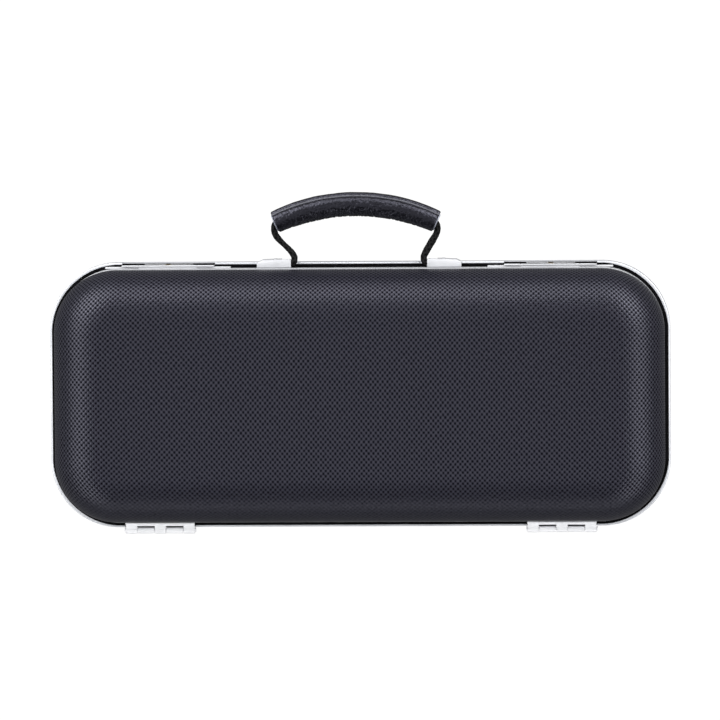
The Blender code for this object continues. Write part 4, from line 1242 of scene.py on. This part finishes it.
@dataclass
class Cord:
    """The braided cord that runs from bracket to bracket through the grip."""

    radius: float = 1.92 * MM
    pitch: float = 3.6 * MM
    strands: int = 8
    relief: float = 0.30 * MM
    around: int = 32
    step: float = 0.28 * MM
    route: list = field(default_factory=lambda: [
        (52.4, 3.2), (47.0, 3.2), (41.7, 3.2), (41.0, 3.4), (40.4, 3.8), (40.0, 4.4), (39.8, 5.3), (39.9, 7.2),
        (41.6, 10.3), (44.4, 13.9), (47.3, 17.5), (49.4, 20.7), (50.2, 23.8), (49.9, 26.4), (48.6, 28.0),
        (46.2, 29.2),
    ])

    def centres(self, grip: Grip) -> list[Vector]:
        """Return points a step apart along the whole cord."""
        side = [handle_place(x * MM, out * MM, 0.0) for x, out in self.route]
        last = math.asin(side[-1].x / grip.arc)
        middle = [grip.point(last * (1.0 - index / 8), 0.0, 0.0) for index in range(1, 16)]
        knots = side + middle + [Vector((-p.x, p.y, p.z)) for p in reversed(side)]
        dense = []
        ends = [knots[0] * 2 - knots[1], *knots, knots[-1] * 2 - knots[-2]]
        for a, b, c, d in zip(ends, ends[1:], ends[2:], ends[3:]):
            pieces = max(2, round((c - b).length / (0.1 * MM)))
            for index in range(pieces):
                t = index / pieces
                dense.append((2 * b + (c - a) * t + (2 * a - 5 * b + 4 * c - d) * t * t
                              + (3 * b - a - 3 * c + d) * t ** 3) / 2)
        dense.append(knots[-1])
        points = [dense[0]]
        run = 0.0
        for before, here in zip(dense, dense[1:]):
            run += (here - before).length
            if run >= self.step:
                points.append(here)
                run = 0.0
        return points

    def build(self, grip: Grip, braid: bpy.types.Material) -> None:
        """Build the cord with its braid pressed up in relief."""
        centres = self.centres(grip)
        last = len(centres) - 1
        builder = bmesh.new()
        grid = bmesh.ops.create_grid(builder, x_segments=last, y_segments=self.around, size=1.0)
        uv = builder.loops.layers.uv.new("braid")
        for face in builder.faces:
            for loop in face.loops:
                along = (loop.vert.co.x + 1) / 2 * last * self.step / self.pitch
                loop[uv].uv = ((loop.vert.co.y + 1) * self.strands / 4, along)
        flat = Vector((0.0, 0.0, 1.0))
        for vert in grid["verts"]:
            index = round((vert.co.x + 1) / 2 * last)
            turn = (vert.co.y + 1) * math.pi
            ahead = centres[min(index + 1, last)] - centres[max(index - 1, 0)]
            across = ahead.cross(flat).normalized()
            along = index * self.step / self.pitch * math.tau
            weave = max(math.sin(self.strands / 2 * turn + along), math.sin(self.strands / 2 * turn - along))
            reach = self.radius + self.relief * (weave - 0.6)
            reach += 0.12 * MM * noise.noise(centres[index] * 300.0)
            vert.co = centres[index] + across * reach * math.cos(turn) + flat * reach * math.sin(turn)
        bmesh.ops.remove_doubles(builder, verts=builder.verts, dist=MERGE)
        ends = [edge for edge in builder.edges if edge.is_boundary]
        bmesh.ops.holes_fill(builder, edges=ends, sides=0)
        finish_piece(hang_aside(builder), "braided_carry_cord", "handle", [braid], ("handle_cord",),
                     80.0)


def dress_core(foam: bpy.types.Material) -> None:
    """Build the grip's padded core."""
    piece = finish_piece(hang_aside(refined("handle_core", 0.3 * MM)), "grip_padding_core", "handle", [foam],
                         ("handle_core",))


# Lining


def plush_piece(node: str, name: str, body: str, plush: bpy.types.Material, voxel: float) -> None:
    """Build a soft plush piece from a CAD node, with its edges rolled over.

    Args:
        node: The CAD node.
        name: The piece's name.
        body: The body that it rides on.
        plush: Its material.
        voxel: The remesh size.
    """
    source = frame["nodes"][node]
    mesh = source.data.copy()
    mesh.transform(source.matrix_world)
    block = bpy.data.objects.new(node + "_block", mesh)
    bpy.context.scene.collection.objects.link(block)
    remesh = block.modifiers.new("remesh", "REMESH")
    remesh.mode = "VOXEL"
    remesh.voxel_size = voxel
    smooth = block.modifiers.new("roll", "SMOOTH")
    smooth.factor = 0.5
    smooth.iterations = 5
    soft = bpy.data.meshes.new_from_object(block.evaluated_get(bpy.context.evaluated_depsgraph_get()))
    bpy.data.objects.remove(block)
    builder = bmesh.new()
    builder.from_mesh(soft)
    for vert in builder.verts:
        vert.co += vert.normal * 0.25 * MM * noise.noise(vert.co * 90.0)
    piece = finish_piece(builder, name, body, [plush], (node,), 60.0)


# Studio


LAMPS = (
    ("top", (0.0, -0.15, 2.2), (2.6, 2.0), 13.5),
    ("front", (0.0, -1.96, 1.00), (3.0, 1.3), 46.0),
    ("left", (1.80, -0.2, 1.32), (2.2, 1.6), 39.0),
    ("right", (-1.80, -0.2, 1.32), (2.2, 1.6), 39.0),
    ("front_left", (1.50, -1.50, 1.10), (1.3, 1.2), 37.0),
    ("front_right", (-1.50, -1.50, 1.10), (1.3, 1.2), 34.0),
    ("back_left", (1.45, 1.40, 1.0), (1.2, 1.0), 14.0),
    ("back_right", (-1.45, 1.40, 1.0), (1.2, 1.0), 14.0),
    ("back", (0.0, 2.1, 0.60), (2.6, 0.8), 14.0),
)
WORLD_STRENGTH = 0.06
FLOOR_TINT = 0.17
FLOOR_GLOSS = 0.0


@dataclass
class Studio:
    """The floor, the lamps and the camera over the case."""

    distance: float = 6.0
    tilt: float = 3.4
    lean: float = 2.3
    roll: float = -0.38
    frame_width: float = 720 * 0.615 * MM
    above_centre: float = 21.1 * MM
    sensor: float = 36.0
    floor_half: float = 6.0
    floor_down: float = 0.2 * MM
    floor_glow: float = 1.245
    glow_share: float = 0.80

    def camera(self) -> None:
        """Look straight down, with the handle at the top of the picture."""
        data = bpy.data.cameras.new("camera")
        data.sensor_width = self.sensor
        data.lens = self.sensor * self.distance / self.frame_width
        data.clip_end = 20.0
        camera = bpy.data.objects.new("camera", data)
        bpy.context.scene.collection.objects.link(camera)
        bpy.context.scene.camera = camera
        tilt = math.radians(self.tilt)
        lean = math.radians(self.lean)
        back = Vector((-math.sin(lean), -math.sin(tilt), math.cos(tilt) * math.cos(lean))).normalized()
        right = Vector((0.0, -1.0, 0.0)).cross(back).normalized()
        up = back.cross(right)
        turn = Matrix((right, up, back)).transposed()
        turn = turn @ Matrix.Rotation(math.radians(self.roll), 3, "Z")
        target = Vector((0.0, -self.above_centre, SEAM))
        camera.matrix_world = Matrix.Translation(target + back * self.distance) @ turn.to_4x4()

    def lamp(self, name: str, place: tuple, size: tuple, power: float) -> None:
        """Add a rectangular soft lamp that looks at the case."""
        data = bpy.data.lights.new(name, "AREA")
        data.shape = "RECTANGLE"
        data.size, data.size_y = size
        data.energy = power
        lamp = bpy.data.objects.new(name, data)
        bpy.context.scene.collection.objects.link(lamp)
        lamp.location = place
        lamp.rotation_euler = (Vector((0.0, 0.0, SEAM)) - Vector(place)).to_track_quat("-Z", "Y").to_euler()

    def lamps(self) -> None:
        """Light the case from above, most from the handle's side."""
        for name, place, size, power in LAMPS:
            self.lamp(name, place, size, power)

    def world(self) -> None:
        """Give the surroundings an even grey, dim for lighting, that camera rays see as white."""
        world = bpy.data.worlds.new("surroundings")
        world.use_nodes = True
        bpy.context.scene.world = world
        nodes = world.node_tree.nodes
        background = nodes["Background"]
        path = nodes.new("ShaderNodeLightPath")
        seen = nodes.new("ShaderNodeMath")
        seen.operation = "MULTIPLY_ADD"
        seen.inputs[1].default_value = 1.0 - WORLD_STRENGTH
        seen.inputs[2].default_value = WORLD_STRENGTH
        world.node_tree.links.new(path.outputs["Is Camera Ray"], seen.inputs[0])
        world.node_tree.links.new(seen.outputs[0], background.inputs["Strength"])
        background.inputs["Color"].default_value = (1.0, 1.0, 1.0, 1.0)

    def floor(self) -> None:
        """Lay a white floor that keeps a soft shadow."""
        builder = bmesh.new()
        bmesh.ops.create_grid(builder, x_segments=1, y_segments=1, size=self.floor_half)
        mesh = bpy.data.meshes.new("floor")
        builder.to_mesh(mesh)
        builder.free()
        floor = bpy.data.objects.new("floor", mesh)
        floor.location.z = -self.floor_down
        bpy.context.scene.collection.objects.link(floor)
        sketch = NodeSketch("white_floor")
        tint = (FLOOR_TINT, FLOOR_TINT, FLOOR_TINT, 1.0)
        sketch.set(Base_Color=tint, Roughness=0.9, Specular_IOR_Level=0.0)
        path = sketch.add("LightPath")
        sketch.set(Emission_Color=(1.0, 1.0, 1.0, 1.0))
        glow = sketch.math("MULTIPLY", path.outputs["Is Glossy Ray"], FLOOR_GLOSS)
        sketch.links.new(glow, sketch.shader.inputs["Emission Strength"])
        glow = sketch.add("Emission", {"Color": (1.0, 1.0, 1.0, 1.0), "Strength": self.floor_glow})
        share = sketch.math("MULTIPLY", path.outputs["Is Camera Ray"], self.glow_share)
        mix = sketch.add("MixShader", {0: share, 1: sketch.shader.outputs[0], 2: glow.outputs[0]})
        sketch.links.new(mix.outputs[0], sketch.nodes["Material Output"].inputs["Surface"])
        mesh.materials.append(sketch.material)

    def build(self) -> None:
        """Set the whole studio up."""
        bpy.context.scene.view_settings.view_transform = "Standard"
        self.camera()
        self.lamps()
        self.world()
        self.floor()


def main() -> None:
    """Dress the whole case and set up the studio."""
    logging.basicConfig(level=logging.INFO, format="%(message)s")
    Studio().build()
    woven = WovenComposite().make()
    metal = SatinMetal().make()
    rubber = SealRubber().make()
    hardware = SatinMetal("blasted_aluminium", (0.55, 0.555, 0.575), (0.48, 0.485, 0.505), 0.50, 0.55).make()
    strip = SatinMetal("strip_aluminium", (0.36, 0.365, 0.38), (0.30, 0.305, 0.32), 0.50, 0.55).make()
    bright = SatinMetal("hinge_nickel", (0.84, 0.845, 0.865), (0.76, 0.765, 0.785), 0.50, 0.45).make()
    # Black rubber on the latch levers' outward faces, as painted shade.
    lever_face_shade = SealRubber("lever_face_painted_shade").make()
    brass = PlainFinish(
        "stud_brass", (0.20, 0.15, 0.06), (0.14, 0.10, 0.04), 0.32, 1.0, 500.0, 0.004 * MM,
    ).make()
    raw = PlainFinish("raw_leather", (0.34, 0.36, 0.42), (0.20, 0.21, 0.26)).make()
    thread = PlainFinish("seam_thread", (0.070, 0.072, 0.085), (0.020, 0.021, 0.027), 0.6, 0.0, 900.0).make()
    foam = PlainFinish("core_foam", (0.34, 0.32, 0.28), (0.24, 0.22, 0.19)).make()
    leather = GripLeather().make()
    braid = BraidCord().make()
    plush = Plush().make()
    for half in Half:
        WovenShell(half).build(woven)
    Frames().build(metal, strip, rubber)
    for label in ("left", "right"):
        Hinge(label).build(bright, rubber)
        Latch(label).build(hardware, lever_face_shade, brass)
        dress_bracket(label, hardware)
    grip = Grip()
    grip.build(leather, raw, thread)
    Cord().build(grip, braid)
    dress_core(foam)
    plush_piece("instrument_bed", "plush_instrument_bed", "base", plush, 1.6 * MM)
    plush_piece("lid_lining", "plush_lid_lining", "lid", plush, 2.2 * MM)


if __name__ == "__main__":
    main()
